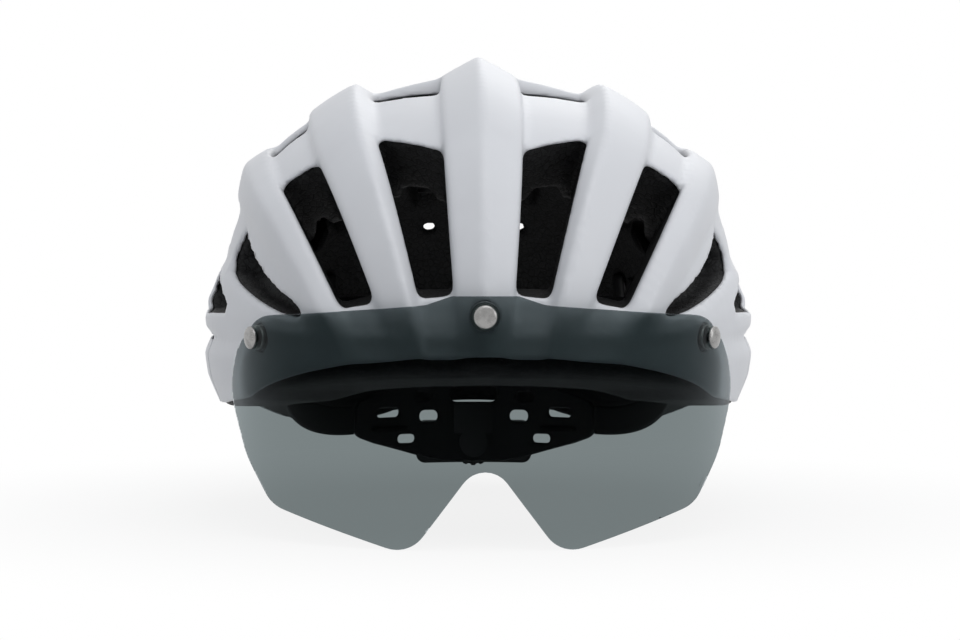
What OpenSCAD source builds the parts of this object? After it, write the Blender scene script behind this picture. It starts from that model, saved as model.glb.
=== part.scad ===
// Vented cycling helmet with a clip-on magnetic visor.
// +X is the wearer's left, the helmet faces -Y, +Z is up.
// The origin is the middle of the head opening, on the brow plane.

/* [Dome] */
// Half width of the dome between the ribs
dome_half_w = 101; // [98:0.5:104]
// Height of the dome above the brow plane
dome_h = 92; // [89:0.5:95]
// Reach of the dome forward of its crown point
dome_front = 142; // [139:0.5:144]
// Reach of the dome behind its crown point
dome_back = 130; // [127:0.5:136]
// Set-back of the crown point from the origin
crown_back = 12; // [10:0.5:14]
// Power of the dome's rounded outline, where 2 is an ellipse
dome_power = 2.6; // [2.5:0.02:2.7]
// Depth scale of the skirt below the brow plane
skirt_scale = 110; // [100:1:130]
// Thickness of the white outer skin
skin_t = 1.4; // [1:0.1:1.8]
// Clearance between the skin and the foam
skin_gap = 0.2; // [0.1:0.05:0.3]

/* [Ribs] */
// Drop from the brow plane to the line on which all the rib planes meet
fan_drop = 112; // [106:1:118]
// Half width of the centre rib, degrees of fan at brow, crown and tail
mid_edge = [4.9, 3.95, 4.3];
// Height of the centre rib's ridge at brow, crown and tail
mid_ridge_h = [8, 13.6, 8];
// Height of the centre rib's shoulders
mid_shoulder_h = [4.5, 6.8, 5];
// Inner edge of the inner rib, degrees of fan
inner_in = [10.6, 12.1, 10.4];
// Outer edge of the inner rib, degrees of fan
inner_out = [17.1, 19.1, 16.6];
// Height of the inner rib's ridge
inner_ridge_h = [5.5, 7.5, 6.5];
// Height of the inner rib's outer shoulder
inner_shoulder_h = [3, 4, 3.6];
// Inner edge of the outer rib, degrees of fan
outer_in = [23.2, 24.4, 22.2];
// Outer edge of the outer rib, degrees of fan
outer_out = [28.4, 31.2, 28];
// Height of the outer rib's ridge
outer_ridge_h = [4.5, 6.2, 5];
// Height of the outer rib's shoulders
outer_shoulder_h = [2.5, 3.2, 3];
// Height of the raised crossbar over the crown
bridge_h = 4.5; // [3:0.1:6]

/* [Belt] */
// Bulge of the side belt
belt_side_h = 8.6; // [6:0.2:9]
// Bulge of the brow
belt_brow_h = 2; // [1:0.1:2.2]
// Bulge of the tail
belt_tail_h = 4.5; // [3:0.1:6]
// Height of the belt's top edge at the brow
belt_brow_top = 5.5; // [4:0.1:7]
// Height of the belt's top edge at the side
belt_side_top = 23; // [20:0.2:24]
// Height of the dark seam between the upper and the lower shell
seam_z = -4.4; // [-6:0.1:-3]
// Width of the dark seam
seam_gap = 1.6; // [1:0.1:2.4]
// Front end of the lower shell
seam_front_y = -34; // [-40:1:-28]

/* [Head space] */
// Half width inside the foam
cavity_half_w = 80; // [78:0.5:81]
// Half length inside the foam
cavity_half_l = 106; // [103:0.5:107]
// Height inside the foam above the brow plane
cavity_h = 68; // [66:0.5:70]
// Set-back of the head space's middle
cavity_back = 5; // [4:0.25:6]
// Power of the head space's rounded outline
cavity_power = 2.2; // [2.1:0.02:2.3]
// How far the foam reaches below the skin's rim
foam_below = 5; // [3:0.5:6]

/* [Visor] */
// Outer radius of the curved lens
lens_r = 99; // [98:0.25:100]
// Lens thickness
lens_t = 1.8; // [1.4:0.1:2.2]
// Distance from the origin back to the lens's axis, negative is forward
lens_axis_y = -44; // [-46:0.25:-43]
// Radius of the rivet heads
rivet_r = 4.2; // [3.6:0.1:4.8]
// Radius of the rivet shanks
rivet_shank_r = 1.5; // [1.2:0.1:1.8]
// Height of the rivet heads
rivet_h = 1.3; // [1:0.1:1.6]
// Angle of the side rivets round the lens
rivet_side_deg = 59.2; // [57:0.2:61]
// Height of the centre rivet
rivet_mid_z = 7.3; // [6:0.1:8]
// Height of the side rivets
rivet_side_z = -2.3; // [-3:0.1:-1.5]
// Radius of the magnets behind the lens
magnet_r = 4.6; // [4:0.1:5.2]
// Thickness of those magnets
magnet_t = 1.9; // [1.5:0.1:2.2]
// Radius of the magnet seats on the shell
seat_r = 5.4; // [5:0.1:6]
// Length of the magnet seats
seat_len = 8; // [7:0.5:9]
// Air gap between magnet and seat
magnet_gap = 0.3; // [0.2:0.05:0.4]

/* [Pads] */
// Thickness of the comfort pads
pad_t = 5; // [4:0.25:5.5]
// Clearance under each pad
pad_gap = 0.3; // [0.2:0.05:0.4]

/* [Cradle] */
// Inner radius of the cradle
cradle_r = 71.5; // [70:0.25:72.5]
// Thickness of the cradle
cradle_t = 2.6; // [2:0.1:2.9]
// Gap from the cradle's back to the foam behind it
cradle_back_gap = 6.9; // [6:0.1:8]
// Half width of the cradle
cradle_half_w = 52; // [49:0.5:53]
// Height of the cradle's top edge
cradle_top_z = -30; // [-31:0.25:-29]
// Height of the cradle's lowest point
cradle_low_z = -66; // [-67:0.25:-65]
// Height of the dial's axis
dial_z = -57.5; // [-58:0.25:-57]
// Radius of the dial
dial_r = 11; // [10:0.25:11.5]
// Thickness of the dial
dial_t = 7; // [5:0.25:8]
// Teeth on the pinion
pinion_teeth = 8; // [8:1:8]
// Pitch radius of the pinion
pinion_r = 3.44; // [3.3:0.02:3.6]
// Width of the bands
band_w = 12; // [10:0.5:13]
// Thickness of the bands
band_t = 1.6; // [1.2:0.1:2]

/* [Straps] */
// Width of the webbing
strap_w = 15; // [12:0.5:16]
// Thickness of the webbing
strap_t = 1.4; // [1.2:0.1:1.8]
// Length of the buckle's female half
buckle_len = 24; // [22:0.5:26]
// Width of the buckle
buckle_w = 24; // [20:0.5:26]
// Thickness of the buckle
buckle_t = 8; // [7:0.25:9]
// Height of the stowed buckle's middle
buckle_z = 55; // [54:0.25:56]

/* [Hidden] */

dome_rings = 7;
dome_sides = 28;
rib_steps = 12;
belt_steps = 26;
space_rings = 7;
space_sides = 28;
rib_dig = 6;
rib_from = -7;
rib_to = 187;
shoulder_drop = 1.6;
shoulder_in = 0.7;
under_rib = 0.35;
floor_z = -56;
seat_fit = 0.15;
shank_fit = 0.1;
soft_gap = 0.3;
round_fn = 48;
far = 200;

function lerp(a, b, w) = a + (b - a) * w;
function clamp01(x) = min(1, max(0, x));
function ease(x) = let (c = clamp01(x)) c * c * (3 - 2 * c);
function along(v, t) = t < 90 ? lerp(v[0], v[1], clamp01(t / 90)) : lerp(v[1], v[2], clamp01((t - 90) / 90));
function power_cos(a, n) = sign(cos(a)) * pow(abs(cos(a)), 2 / n);
function power_sin(a, n) = sign(sin(a)) * pow(abs(sin(a)), 2 / n);

// Value that is 1 on the dome grown by g, less inside, more outside
function dome_f(p, g) = pow(abs(p.x) / (dome_half_w + g), dome_power)
    + pow(abs(p.y - crown_back) / ((p.y < crown_back ? dome_front : dome_back) + g), dome_power)
    + pow(abs(p.z) / ((p.z < 0 ? skirt_scale : dome_h) + g), dome_power);
// Point in the rib plane at fan angle al, on a ray at angle t, r from its start
function fan_pt(al, t, r) = let (rho = fan_drop / cos(al) + r * sin(t))
    [rho * sin(al), crown_back - r * cos(t), rho * cos(al) - fan_drop];
// Length of that ray to the dome grown by g, found by halving
function fan_r(al, t, g, lo = 0, hi = 240, k = 17) = k == 0 ? (lo + hi) / 2 :
    let (m = (lo + hi) / 2)
    dome_f(fan_pt(al, t, m), g) < 1 ? fan_r(al, t, g, m, hi, k - 1) : fan_r(al, t, g, lo, m, k - 1);
function on_fan(al, t, g) = fan_pt(al, t, fan_r(al, t, g));

// Closed skin over rings of equal length, with flat ends
module loft(rings) {
    n = len(rings);
    m = len(rings[0]);
    sides = [for (i = [0 : n - 2], j = [0 : m - 1]) let (k = (j + 1) % m)
        each [[i * m + j, i * m + k, (i + 1) * m + k], [i * m + j, (i + 1) * m + k, (i + 1) * m + j]]];
    ends = [[for (j = [m - 1 : -1 : 0]) j], [for (j = [0 : m - 1]) (n - 1) * m + j]];
    polyhedron([for (r = rings) each r], concat(sides, ends), convexity = 8);
}

// Closed skin over rings that join end to end
module loft_loop(rings) {
    n = len(rings);
    m = len(rings[0]);
    polyhedron([for (r = rings) each r],
        [for (i = [0 : n - 1], j = [0 : m - 1]) let (k = (j + 1) % m, i2 = (i + 1) % n)
            each [[i * m + j, i * m + k, i2 * m + k], [i * m + j, i2 * m + k, i2 * m + j]]],
        convexity = 8);
}

// The dome grown by g, from the floor to the crown
module dome(g) {
    zs = concat([floor_z, -28, 0], [for (i = [1 : dome_rings]) dome_h * sin(i * 88 / dome_rings)]);
    ring = [for (z = zs) let (
            s = pow(1 - pow(abs(z) / (z < 0 ? skirt_scale : dome_h), dome_power), 1 / dome_power),
            zg = z > 0 ? z * (dome_h + g) / dome_h : z)
        [for (j = [0 : dome_sides - 1]) let (a = -360 * j / dome_sides)
            [(dome_half_w + g) * s * power_cos(a, dome_power),
             crown_back + ((sin(a) < 0 ? dome_front : dome_back) + g) * s * power_sin(a, dome_power), zg]]];
    loft(ring);
}

// One rib over the whole length, edges and heights as lists at brow, crown and tail
module rib(in_a, out_a, ridge_w, ridge_h, in_h, out_h, g) {
    loft([for (i = [0 : rib_steps]) let (
            t = lerp(rib_from, rib_to, i / rib_steps),
            fade = min(ease((t + 12) / 14), ease((192 - t) / 14)),
            da = g * 180 / PI / (fan_drop + dome_h * max(0, sin(t))),
            a0 = along(in_a, t) - da,
            a1 = along(out_a, t) + da,
            ar = lerp(a0, a1, ridge_w))
        [for (q = [[a0, -rib_dig + g], [a1, -rib_dig + g],
                [a1, along(out_h, t) * fade - shoulder_drop * fade + g],
                [a1 - shoulder_in, along(out_h, t) * fade + g],
                [ar, along(ridge_h, t) * fade + g],
                [a0 + shoulder_in, along(in_h, t) * fade + g],
                [a0, along(in_h, t) * fade - shoulder_drop * fade + g]])
            on_fan(q[0], t, q[1])]]);
}

module both() {
    children();
    mirror([1, 0, 0]) children();
}

module ribs(g) {
    rib(-mid_edge, mid_edge, 0.5, mid_ridge_h, mid_shoulder_h, mid_shoulder_h, g);
    both() {
        rib(inner_in, inner_out, 0.22, inner_ridge_h, inner_shoulder_h, inner_shoulder_h, g);
        rib(outer_in, outer_out, 0.55, outer_ridge_h, outer_shoulder_h, outer_shoulder_h, g);
    }
}

// Raised crossbar over the crown, from outer rib to outer rib
module bridge(g) {
    reach = 30;
    loft([for (i = [0 : 10]) let (al = lerp(-reach, reach, i / 10))
        [for (q = [[84, -rib_dig], [85.5 - g / 2, bridge_h - 1], [88, bridge_h], [97, bridge_h],
                [99.5 + g / 2, bridge_h - 1], [101, -rib_dig]])
            on_fan(al, q[0], q[1] + g)]]);
}

// Point of the dome's outline at height z, angle a from +X, grown by h
function ring_pt(a, z, h) = let (
        s = pow(1 - pow(abs(z) / (z < 0 ? skirt_scale : dome_h), dome_power), 1 / dome_power))
    [((dome_half_w) * s + h) * power_cos(a, dome_power),
     crown_back + ((sin(a) < 0 ? dome_front : dome_back) * s + h) * power_sin(a, dome_power), z];
// Angle from straight ahead to straight behind, the same on both sides
function half_turn(a) = asin(sin(a));
function belt_h(a) = let (f = half_turn(a)) f < 0
    ? lerp(belt_brow_h, belt_side_h, ease((f + 34) / 30))
    : lerp(belt_side_h, belt_tail_h, ease((f - 12) / 55));
function belt_top(a) = let (f = half_turn(a)) f < 0
    ? lerp(belt_brow_top, belt_side_top, clamp01((f + 52) / 32))
    : lerp(belt_side_top, belt_side_top - 7, ease(f / 70));

// The belt round the shell, from its top edge down past the seam
module belt(g) {
    loft_loop([for (i = [0 : belt_steps - 1]) let (a = -360 * i / belt_steps, h = belt_h(a), zt = belt_top(a) + g)
        [for (q = [[floor_z + 10, -rib_dig], [zt, -rib_dig], [zt - 1, 0.15 * h], [zt - 4, 0.45 * h],
                [lerp(zt, seam_z, 0.55), h], [seam_z + 3, 0.88 * h], [seam_z, 0.55 * h],
                [seam_z - 7, h + 0.6], [seam_z - 16, h - 0.4], [seam_z - 29, 0.28 * h],
                [floor_z + 10, -1]])
            ring_pt(a, q[0], q[1] + g)]]);
}

// A vent between two rib edges: corners as [fan angle, ray angle], outside first
module vent(a_lo, a_hi, t_lo, t_hi, neck, neck_a, deep) {
    am = (a_lo[0] + a_lo[1] + a_hi[0] + a_hi[1]) / 4;
    tm = (t_lo[0] + t_lo[1] + t_hi[0] + t_hi[1]) / 4;
    c = 0.14;
    corner = [[a_lo[0], t_lo[0]], [a_lo[1], t_lo[1]], [a_hi[1], t_hi[1]], [a_hi[0], t_hi[0]]];
    ring = [for (i = [0 : 3]) let (p = corner[i], b = corner[(i + 3) % 4], f = corner[(i + 1) % 4])
        each [lerp(p, b, i % 2 == 0 ? 0.09 : c), lerp(p, f, i % 2 == 0 ? c : 0.09)]];
    outer = [for (q = ring) fan_pt(q[0], q[1], fan_r(q[0], q[1], 0) + 20)];
    skin = [for (q = ring) fan_pt(q[0], q[1], fan_r(q[0], q[1], 0) - 3)];
    inner = [for (q = ring) let (a = lerp(am, q[0], neck_a), t = lerp(tm, q[1], neck))
        fan_pt(a, t, fan_r(a, t, 0) - deep)];
    hull() cloud(concat(outer, skin));
    hull() cloud(concat(skin, inner));
}

// A solid through all the given points, for a hull
module cloud(p) {
    polyhedron(p, [for (i = [0 : len(p) - 3]) [i, i + 1, i + 2]]);
}

// A row of vents between two ribs
module vent_row(from, to, rows) {
    for (r = rows) let (
            lo = [along(from, r[2]) - under_rib, along(to, r[3]) + under_rib],
            hi = [along(from, r[0]) - under_rib, along(to, r[1]) + under_rib])
        vent(lo, hi, [r[2], r[3]], [r[0], r[1]], r[4], r[5], r[6]);
}

// Vents as the ray angles of their four corners, the share of their length and width that is left
// at the bottom, and their depth
inner_rows = [[29.2, 34.8, 6.2, 5.6, 0.66, 0.9, 48], [58, 58, 84, 84, 0.8, 0.9, 48],
    [101, 101, 136, 136, 0.8, 0.9, 48], [144, 144, 170, 170, 0.12, 0.3, 36]];
outer_rows = [[33, 32.2, 5.5, 4.5, 0.66, 0.9, 48], [56, 54, 83, 83, 0.8, 0.9, 48],
    [101, 101, 134, 134, 0.8, 0.9, 48], [142, 142, 168, 168, 0.7, 0.8, 13]];

// Side openings as outlines in Y and Z
side_vent_front = [[-62, 37], [-50, 26], [-50, 21], [-80, 12], [-99, 6.5], [-107, 5], [-112, 7]];
side_vent_mid = [[-36, 17], [-30, 20], [4, 20], [16, 12], [12, 5], [-20, 4], [-34, 9]];
side_vent_rear = [[32, 22], [38, 25], [84, 20], [92, 11], [84, 6], [40, 6], [32, 10]];
side_vent_high = [[-30, 47], [30, 50], [60, 44], [64, 36], [20, 31], [-28, 32], [-36, 40]];

module side_vents() {
    both() for (v = [side_vent_front, side_vent_mid, side_vent_rear, side_vent_high])
        translate([62, 0, 0]) rotate([90, 0, 90]) linear_extrude(70) polygon(v);
}

module vents() {
    both() {
        vent_row(mid_edge, inner_in, inner_rows);
        vent_row(inner_out, outer_in, outer_rows);
    }
    side_vents();
}

// Everything below the rim, as a side outline dropped by d
rim = [[-160, -6], [-134, -7.7], [-118, -12.5], [-95, -20], [-80, -25.5], [-45, -30], [0, -33],
    [25, -36], [60, -42], [98, -46.5], [110, -41], [121, -34], [160, -31.5]];
module below_rim(d) {
    translate([-far, 0, -d]) rotate([90, 0, 90]) linear_extrude(2 * far)
        polygon(concat([[160, -far], [-160, -far]], rim));
}

// The head space's faces lie outside its curve, so that nothing on the curve touches them
module head_space(g) {
    zs = concat([floor_z - 10], [for (i = [0 : space_rings]) cavity_h * sin(i * 87 / space_rings)]);
    wide = 1 / cos(180 / space_sides);
    high = 1 / cos(87 / 2 / space_rings);
    loft([for (z = zs) let (s = pow(1 - pow(max(0, z) / cavity_h, cavity_power), 1 / cavity_power))
        [for (j = [0 : space_sides - 1]) let (a = -360 * j / space_sides)
            [wide * (cavity_half_w + g) * s * power_cos(a, cavity_power),
             cavity_back + wide * (cavity_half_l + g) * s * power_sin(a, cavity_power),
             z > 0 ? high * z * (cavity_h + g) / cavity_h : z]]]);
}

module outer_form(g) {
    difference() {
        dome(g);
        vents();
    }
    ribs(g);
    bridge(g);
    difference() {
        belt(g);
        side_vents();
    }
}

// Places children with +Z out of the lens, at its inner face
module at_rivet(deg, z) {
    translate([0, lens_axis_y, z]) rotate([90, 0, deg]) translate([0, 0, lens_r - lens_t]) children();
}
module each_rivet() {
    at_rivet(0, rivet_mid_z) children();
    at_rivet(rivet_side_deg, rivet_side_z) children();
    at_rivet(-rivet_side_deg, rivet_side_z) children();
}
module seat_pockets() {
    each_rivet() translate([0, 0, -magnet_t - magnet_gap - seat_len - seat_fit])
        cylinder(h = 2 * seat_len, r = seat_r + seat_fit, $fn = 24);
}

// The zone of the lower shell, behind its front end and below the seam
module lower_zone(inset) {
    translate([-far, seam_front_y - inset, -far]) cube([2 * far, 2 * far, far + seam_z + inset]);
}

module skin() {
    difference() {
        outer_form(0);
        dome(-skin_t);
        ribs(-skin_t);
        bridge(-skin_t);
        belt(-skin_t);
        below_rim(0);
    }
}

module shell_upper() {
    color("whitesmoke") difference() {
        skin();
        lower_zone(0);
        seat_pockets();
    }
}

module shell_lower() {
    color("white") intersection() {
        skin();
        lower_zone(-seam_gap);
    }
}

module liner() {
    g = -skin_t - skin_gap;
    color([0.12, 0.12, 0.13]) difference() {
        union() {
            dome(g);
            ribs(g);
            bridge(g);
            belt(g);
        }
        vents();
        head_space(0);
        below_rim(foam_below);
        seat_pockets();
        hanger_slot(soft_gap);
        dial_space(dial_gap);
    }
}

// Arc that rounds the corner c between its neighbours p and q
function fillet(p, c, q, r) = let (
        u = (p - c) / norm(p - c), v = (q - c) / norm(q - c),
        half = acos(u * v) / 2,
        o = c + (u + v) / norm(u + v) * r / sin(half),
        a = atan2((c + u * r / tan(half) - o).y, (c + u * r / tan(half) - o).x),
        b = atan2((c + v * r / tan(half) - o).y, (c + v * r / tan(half) - o).x),
        turn = (b - a + 540) % 360 - 180)
    [for (i = [0 : 6]) o + r * [cos(a + turn * i / 6), sin(a + turn * i / 6)]];
// Closed outline through corners given as [x, z, radius]
function rounded(c) = [for (i = [0 : len(c) - 1]) let (
        p = c[(i + len(c) - 1) % len(c)], k = c[i], q = c[(i + 1) % len(c)])
    each fillet([p.x, p.y], [k.x, k.y], [q.x, q.y], k.z)];
// Corners of the right half, then of the left half
function mirrored(c) = concat(c, [for (i = [len(c) - 1 : -1 : 0]) [-c[i].x, c[i].y, c[i].z]]);
module facing_front(y, t) {
    translate([0, y + t, 0]) rotate([90, 0, 0]) linear_extrude(t) children();
}

// Lens outline: centre tab, shoulder, side, lobe and nose notch, as [x, z, radius]
lens_corners = [[11.8, 14.6, 4], [21.5, 11.3, 9], [82.5, 6.1, 9], [91.2, -6, 22], [94.7, -22, 34],
    [87.6, -46, 34], [77.5, -63, 12], [27.4, -77.7, 12]];
notch_corner = [0, -41.4, 9.7];
// The lens lies at least this far in front of its axis
lens_front = 20;

module visor_lens() {
    color([0.25, 0.28, 0.3, 0.6]) difference() {
        intersection() {
            translate([0, lens_axis_y, -far / 2]) difference() {
                cylinder(h = far, r = lens_r, $fn = 180);
                translate([0, 0, -1]) cylinder(h = far + 2, r = lens_r - lens_t, $fn = 180);
            }
            facing_front(-far, far + lens_axis_y - lens_front)
                polygon(rounded(concat(lens_corners, [notch_corner],
                    [for (i = [len(lens_corners) - 1 : -1 : 0])
                        [-lens_corners[i].x, lens_corners[i].y, lens_corners[i].z]])));
        }
        each_rivet() translate([0, 0, -5]) cylinder(h = 12, r = rivet_shank_r + shank_fit, $fn = round_fn);
    }
}

// Domed head on the lens and a shank through it into the magnet
module rivet() {
    crown_r = (rivet_r * rivet_r + rivet_h * rivet_h) / (2 * rivet_h);
    seat = lens_t + 0.12;
    color("silver") {
        translate([0, 0, seat]) rotate_extrude($fn = round_fn) intersection() {
            translate([0, rivet_h + 0.5 - crown_r]) circle(crown_r, $fn = 96);
            square([rivet_r, rivet_h + 0.5]);
        }
        translate([0, 0, 0.3 - magnet_t]) cylinder(h = seat + magnet_t, r = rivet_shank_r, $fn = round_fn);
    }
}
module magnet() {
    color("silver") translate([0, 0, -magnet_t]) difference() {
        cylinder(h = magnet_t - 0.12, r = magnet_r, $fn = round_fn);
        translate([0, 0, -1]) cylinder(h = magnet_t + 2, r = rivet_shank_r + 0.04, $fn = round_fn);
    }
}
module seat() {
    color("dimgray") translate([0, 0, -magnet_t - magnet_gap - seat_len])
        cylinder(h = seat_len, r = seat_r, $fn = round_fn);
}
module rivet_mid() { at_rivet(0, rivet_mid_z) rivet(); }
module rivet_left() { at_rivet(rivet_side_deg, rivet_side_z) rivet(); }
module rivet_right() { at_rivet(-rivet_side_deg, rivet_side_z) rivet(); }
module magnet_mid() { at_rivet(0, rivet_mid_z) magnet(); }
module magnet_left() { at_rivet(rivet_side_deg, rivet_side_z) magnet(); }
module magnet_right() { at_rivet(-rivet_side_deg, rivet_side_z) magnet(); }
module seat_mid() { at_rivet(0, rivet_mid_z) seat(); }
module seat_left() { at_rivet(rivet_side_deg, rivet_side_z) seat(); }
module seat_right() { at_rivet(-rivet_side_deg, rivet_side_z) seat(); }

// Points on the inside of the foam, moved inwards by off
function wall_pt(az, z, off) = let (
        s = pow(1 - pow(max(0, z) / cavity_h, cavity_power), 1 / cavity_power),
        k = pow(pow(abs(sin(az)) / (cavity_half_w * s - off), cavity_power)
            + pow(abs(cos(az)) / (cavity_half_l * s - off), cavity_power), -1 / cavity_power))
    [k * sin(az), cavity_back - k * cos(az), z];
function roof_pt(be, t, off) = let (
        d = [sin(be), -cos(be) * cos(t), cos(be) * sin(t)],
        k = pow(pow(abs(d.x) / (cavity_half_w - off), cavity_power)
            + pow(abs(d.y) / (cavity_half_l - off), cavity_power)
            + pow(abs(d.z) / (cavity_h - off), cavity_power), -1 / cavity_power))
    [k * d.x, cavity_back + k * d.y, k * d.z];
cradle_axis_y = cavity_back + cavity_half_l - cradle_back_gap - cradle_t - cradle_r;
function cradle_pt(a, z, off) = [(cradle_r - off) * sin(a), cradle_axis_y + (cradle_r - off) * cos(a), z];

// Crowned pad with drawn-in sides over a patch of a surface
module pad(at, u, v, off, t, steps = 12, sides = 10, turn = 1) {
    loft([for (i = [0 : steps]) let (
            w = -cos(180 * (i + 0.35) / (steps + 0.7)),
            thick = t * pow(1 - pow(abs(w), 5), 0.5),
            reach = pow(1 - pow(abs(w), 9), 0.5))
        [for (j = [0 : sides - 1]) let (a = -turn * 360 * j / sides)
            at(lerp(u[0], u[1], (w + 1) / 2),
               lerp(v[0], v[1], 0.5 + 0.5 * reach * power_cos(a, 4)),
               off + thick / 2 * (1 + power_sin(a, 3)))]]);
}
wall_at = function (az, z, off) wall_pt(az, z, off);
roof_at = function (t, be, off) roof_pt(be, t, off);
cradle_at = function (a, z, off) cradle_pt(a, z, off);
patch_t = 1;
pad_off = pad_gap + patch_t + soft_gap;

// Angles round the head space that the pads span, and their heights
brow_pad_deg = 46;
brow_pad_z = [-6, 13];
side_pad_deg = [50, 80];
side_pad_z = [24, 40];
// Angles over the head space and across it
front_pad_deg = [40, 74];
front_pad_across = 15;
rear_pad_deg = [106, 136];
rear_pad_across = 13;

module brow_pad() {
    color([0.08, 0.08, 0.08])
        pad(wall_at, [-brow_pad_deg, brow_pad_deg], brow_pad_z, pad_off, pad_t, 18, turn = -1);
}
module crown_pad_front() {
    color([0.08, 0.08, 0.08])
        pad(roof_at, front_pad_deg, [-front_pad_across, front_pad_across], pad_off, pad_t);
}
module crown_pad_rear() {
    color([0.08, 0.08, 0.08])
        pad(roof_at, rear_pad_deg, [-rear_pad_across, rear_pad_across], pad_off, pad_t);
}
module side_pad_left() {
    color([0.08, 0.08, 0.08]) pad(wall_at, side_pad_deg, side_pad_z, pad_off, pad_t, turn = -1);
}
module side_pad_right() { mirror([1, 0, 0]) side_pad_left(); }
module hook_patches() {
    color("dimgray") {
        for (a = [-34, 0, 34]) pad(wall_at, [a - 5, a + 5], [0, 7], pad_gap, patch_t, 2, 6, -1);
        for (t = [[46, 52], [62, 68], [112, 118], [124, 130]])
            pad(roof_at, t, [-5, 5], pad_gap, patch_t, 2, 6);
        both() pad(wall_at, [60, 70], [28, 36], pad_gap, patch_t, 2, 6, -1);
    }
}

// Flat ribbon along points, with the surface's inward direction at each
module ribbon(pts, ins, w, t) {
    n = len(pts);
    loft([for (i = [0 : n - 1]) let (
            along_it = pts[min(n - 1, i + 1)] - pts[max(0, i - 1)],
            across = cross(along_it, ins[i]) / norm(cross(along_it, ins[i])) * w / 2,
            deep = ins[i] / norm(ins[i]) * t)
        [pts[i] - across, pts[i] + across, pts[i] + across + deep, pts[i] - across + deep]]);
}
// Band from the temple, as an angle round the head space and a height, to the cradle's end
band_from = [70, -21.5];
band_off = 1.4;
band_end_x = cradle_half_w + soft_gap + 0.7 * band_t;
band_end_r = cradle_r + (cradle_t + band_t) / 2;
band_end = [band_end_x, cradle_axis_y + sqrt(band_end_r * band_end_r - band_end_x * band_end_x), -46.5];
band_to_a = atan2(band_end.x, cavity_back - band_end.y);
module band_left() {
    short = band_end - wall_pt(band_to_a, band_end.z, band_off);
    color([0.1, 0.1, 0.1]) let (
            s = [for (i = [0 : 12]) i / 12],
            pts = [for (w = s) wall_pt(lerp(band_from[0], band_to_a, w),
                lerp(band_from[1], band_end.z, ease(w)), band_off) + w * w * short],
            ins = [for (w = s) let (a = lerp(band_from[0], band_to_a, w))
                [-sin(a) * cavity_half_l, cos(a) * cavity_half_w, 0]])
        ribbon(pts, ins, band_w, band_t);
}
module band_right() { mirror([1, 0, 0]) band_left(); }
plug_w = 12;
plug_h = 16;
plug_t = 3.2;
module temple_plug_left() {
    a = band_from[0] - atan2(plug_w / 2 + soft_gap, cavity_half_w);
    wall = wall_pt(a + 1, 0, 0) - wall_pt(a - 1, 0, 0);
    color([0.15, 0.15, 0.15]) translate(wall_pt(a, band_from[1], pad_gap + plug_t))
        rotate([90, 0, atan2(wall.y, wall.x)]) translate([0, 0, -plug_t]) linear_extrude(plug_t)
            polygon(rounded([[-plug_w / 2, -plug_h / 2, 3], [plug_w / 2, -plug_h / 2, 3],
                [plug_w / 2, plug_h / 2, 3], [-plug_w / 2, plug_h / 2, 3]]));
}
module temple_plug_right() { mirror([1, 0, 0]) temple_plug_left(); }

cradle_corners = [[12, cradle_top_z, 3], [38, cradle_top_z - 4, 8], [cradle_half_w, -39, 4],
    [cradle_half_w, -53.5, 4], [44, -57, 12], [25, cradle_low_z + 3, 14], [12, cradle_low_z, 8]];
cradle_slots = [[0, -36.6, 10.5, 3.4], [23, -37.4, 3.9, 2.1], [-23, -37.4, 3.9, 2.1],
    [30, -55.5, 3.8, 1.9], [-30, -55.5, 3.8, 1.9], [38, -44, 5, 2], [-38, -44, 5, 2],
    [20, -46, 4, 2.6], [-20, -46, 4, 2.6]];
module slot(s) {
    translate([s[0], s[1]]) polygon(rounded([[-s[2], -s[3], s[3] * 0.9], [s[2], -s[3], s[3] * 0.9],
        [s[2], s[3], s[3] * 0.9], [-s[2], s[3], s[3] * 0.9]]));
}
module cradle() {
    color([0.1, 0.1, 0.1]) difference() {
        intersection() {
            translate([0, cradle_axis_y, -far / 2]) difference() {
                cylinder(h = far, r = cradle_r + cradle_t, $fn = 96);
                translate([0, 0, -1]) cylinder(h = far + 2, r = cradle_r, $fn = 96);
            }
            facing_front(cradle_axis_y + 20, 80) difference() {
                polygon(rounded(mirrored(cradle_corners)));
                for (s = cradle_slots) slot(s);
            }
        }
        translate([0, cradle_axis_y, dial_z]) rotate([-90, 0, 0]) cylinder(h = far, r = 2.1, $fn = round_fn);
    }
}
cradle_pad_deg = [24, 38];
cradle_pad_z = [-52, -49.4];
cradle_pad_t = 2.2;
module cradle_pads() {
    color([0.08, 0.08, 0.08]) both()
        pad(cradle_at, cradle_pad_deg, cradle_pad_z, soft_gap, cradle_pad_t, 6, 8);
}

// Level of the cradle's outside on the middle line
back_y = cradle_axis_y + cradle_r + cradle_t;
house_depth = 6.4;
house_y = back_y + house_depth;
house_half_w = 25;
house_half_h = 9;
house_round = 4;
house_wall = 1.5;
house_lip = 1.4;
rack_h = 3.4;
mesh_gap = 0.18;
rack_y = back_y + 1.5;
rack_t = 3;
module dial_housing() {
    color([0.13, 0.13, 0.13]) difference() {
        facing_front(back_y - 8, house_y - back_y + 8)
            polygon(rounded([[-house_half_w, dial_z - house_half_h, house_round],
                [house_half_w, dial_z - house_half_h, house_round],
                [house_half_w, dial_z + house_half_h, house_round],
                [-house_half_w, dial_z + house_half_h, house_round]]));
        translate([0, cradle_axis_y, -far / 2]) cylinder(h = far, r = cradle_r + cradle_t + 0.04, $fn = 96);
        facing_front(rack_y - 0.4, rack_t + 0.8)
            translate([house_wall - house_half_w, dial_z + house_lip - house_half_h])
                square([2 * (house_half_w - house_wall), 2 * (house_half_h - house_lip)]);
        translate([0, back_y - 9, dial_z]) rotate([-90, 0, 0])
            cylinder(h = 30, r = shaft_r + 0.05, $fn = round_fn);
    }
}
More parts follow.
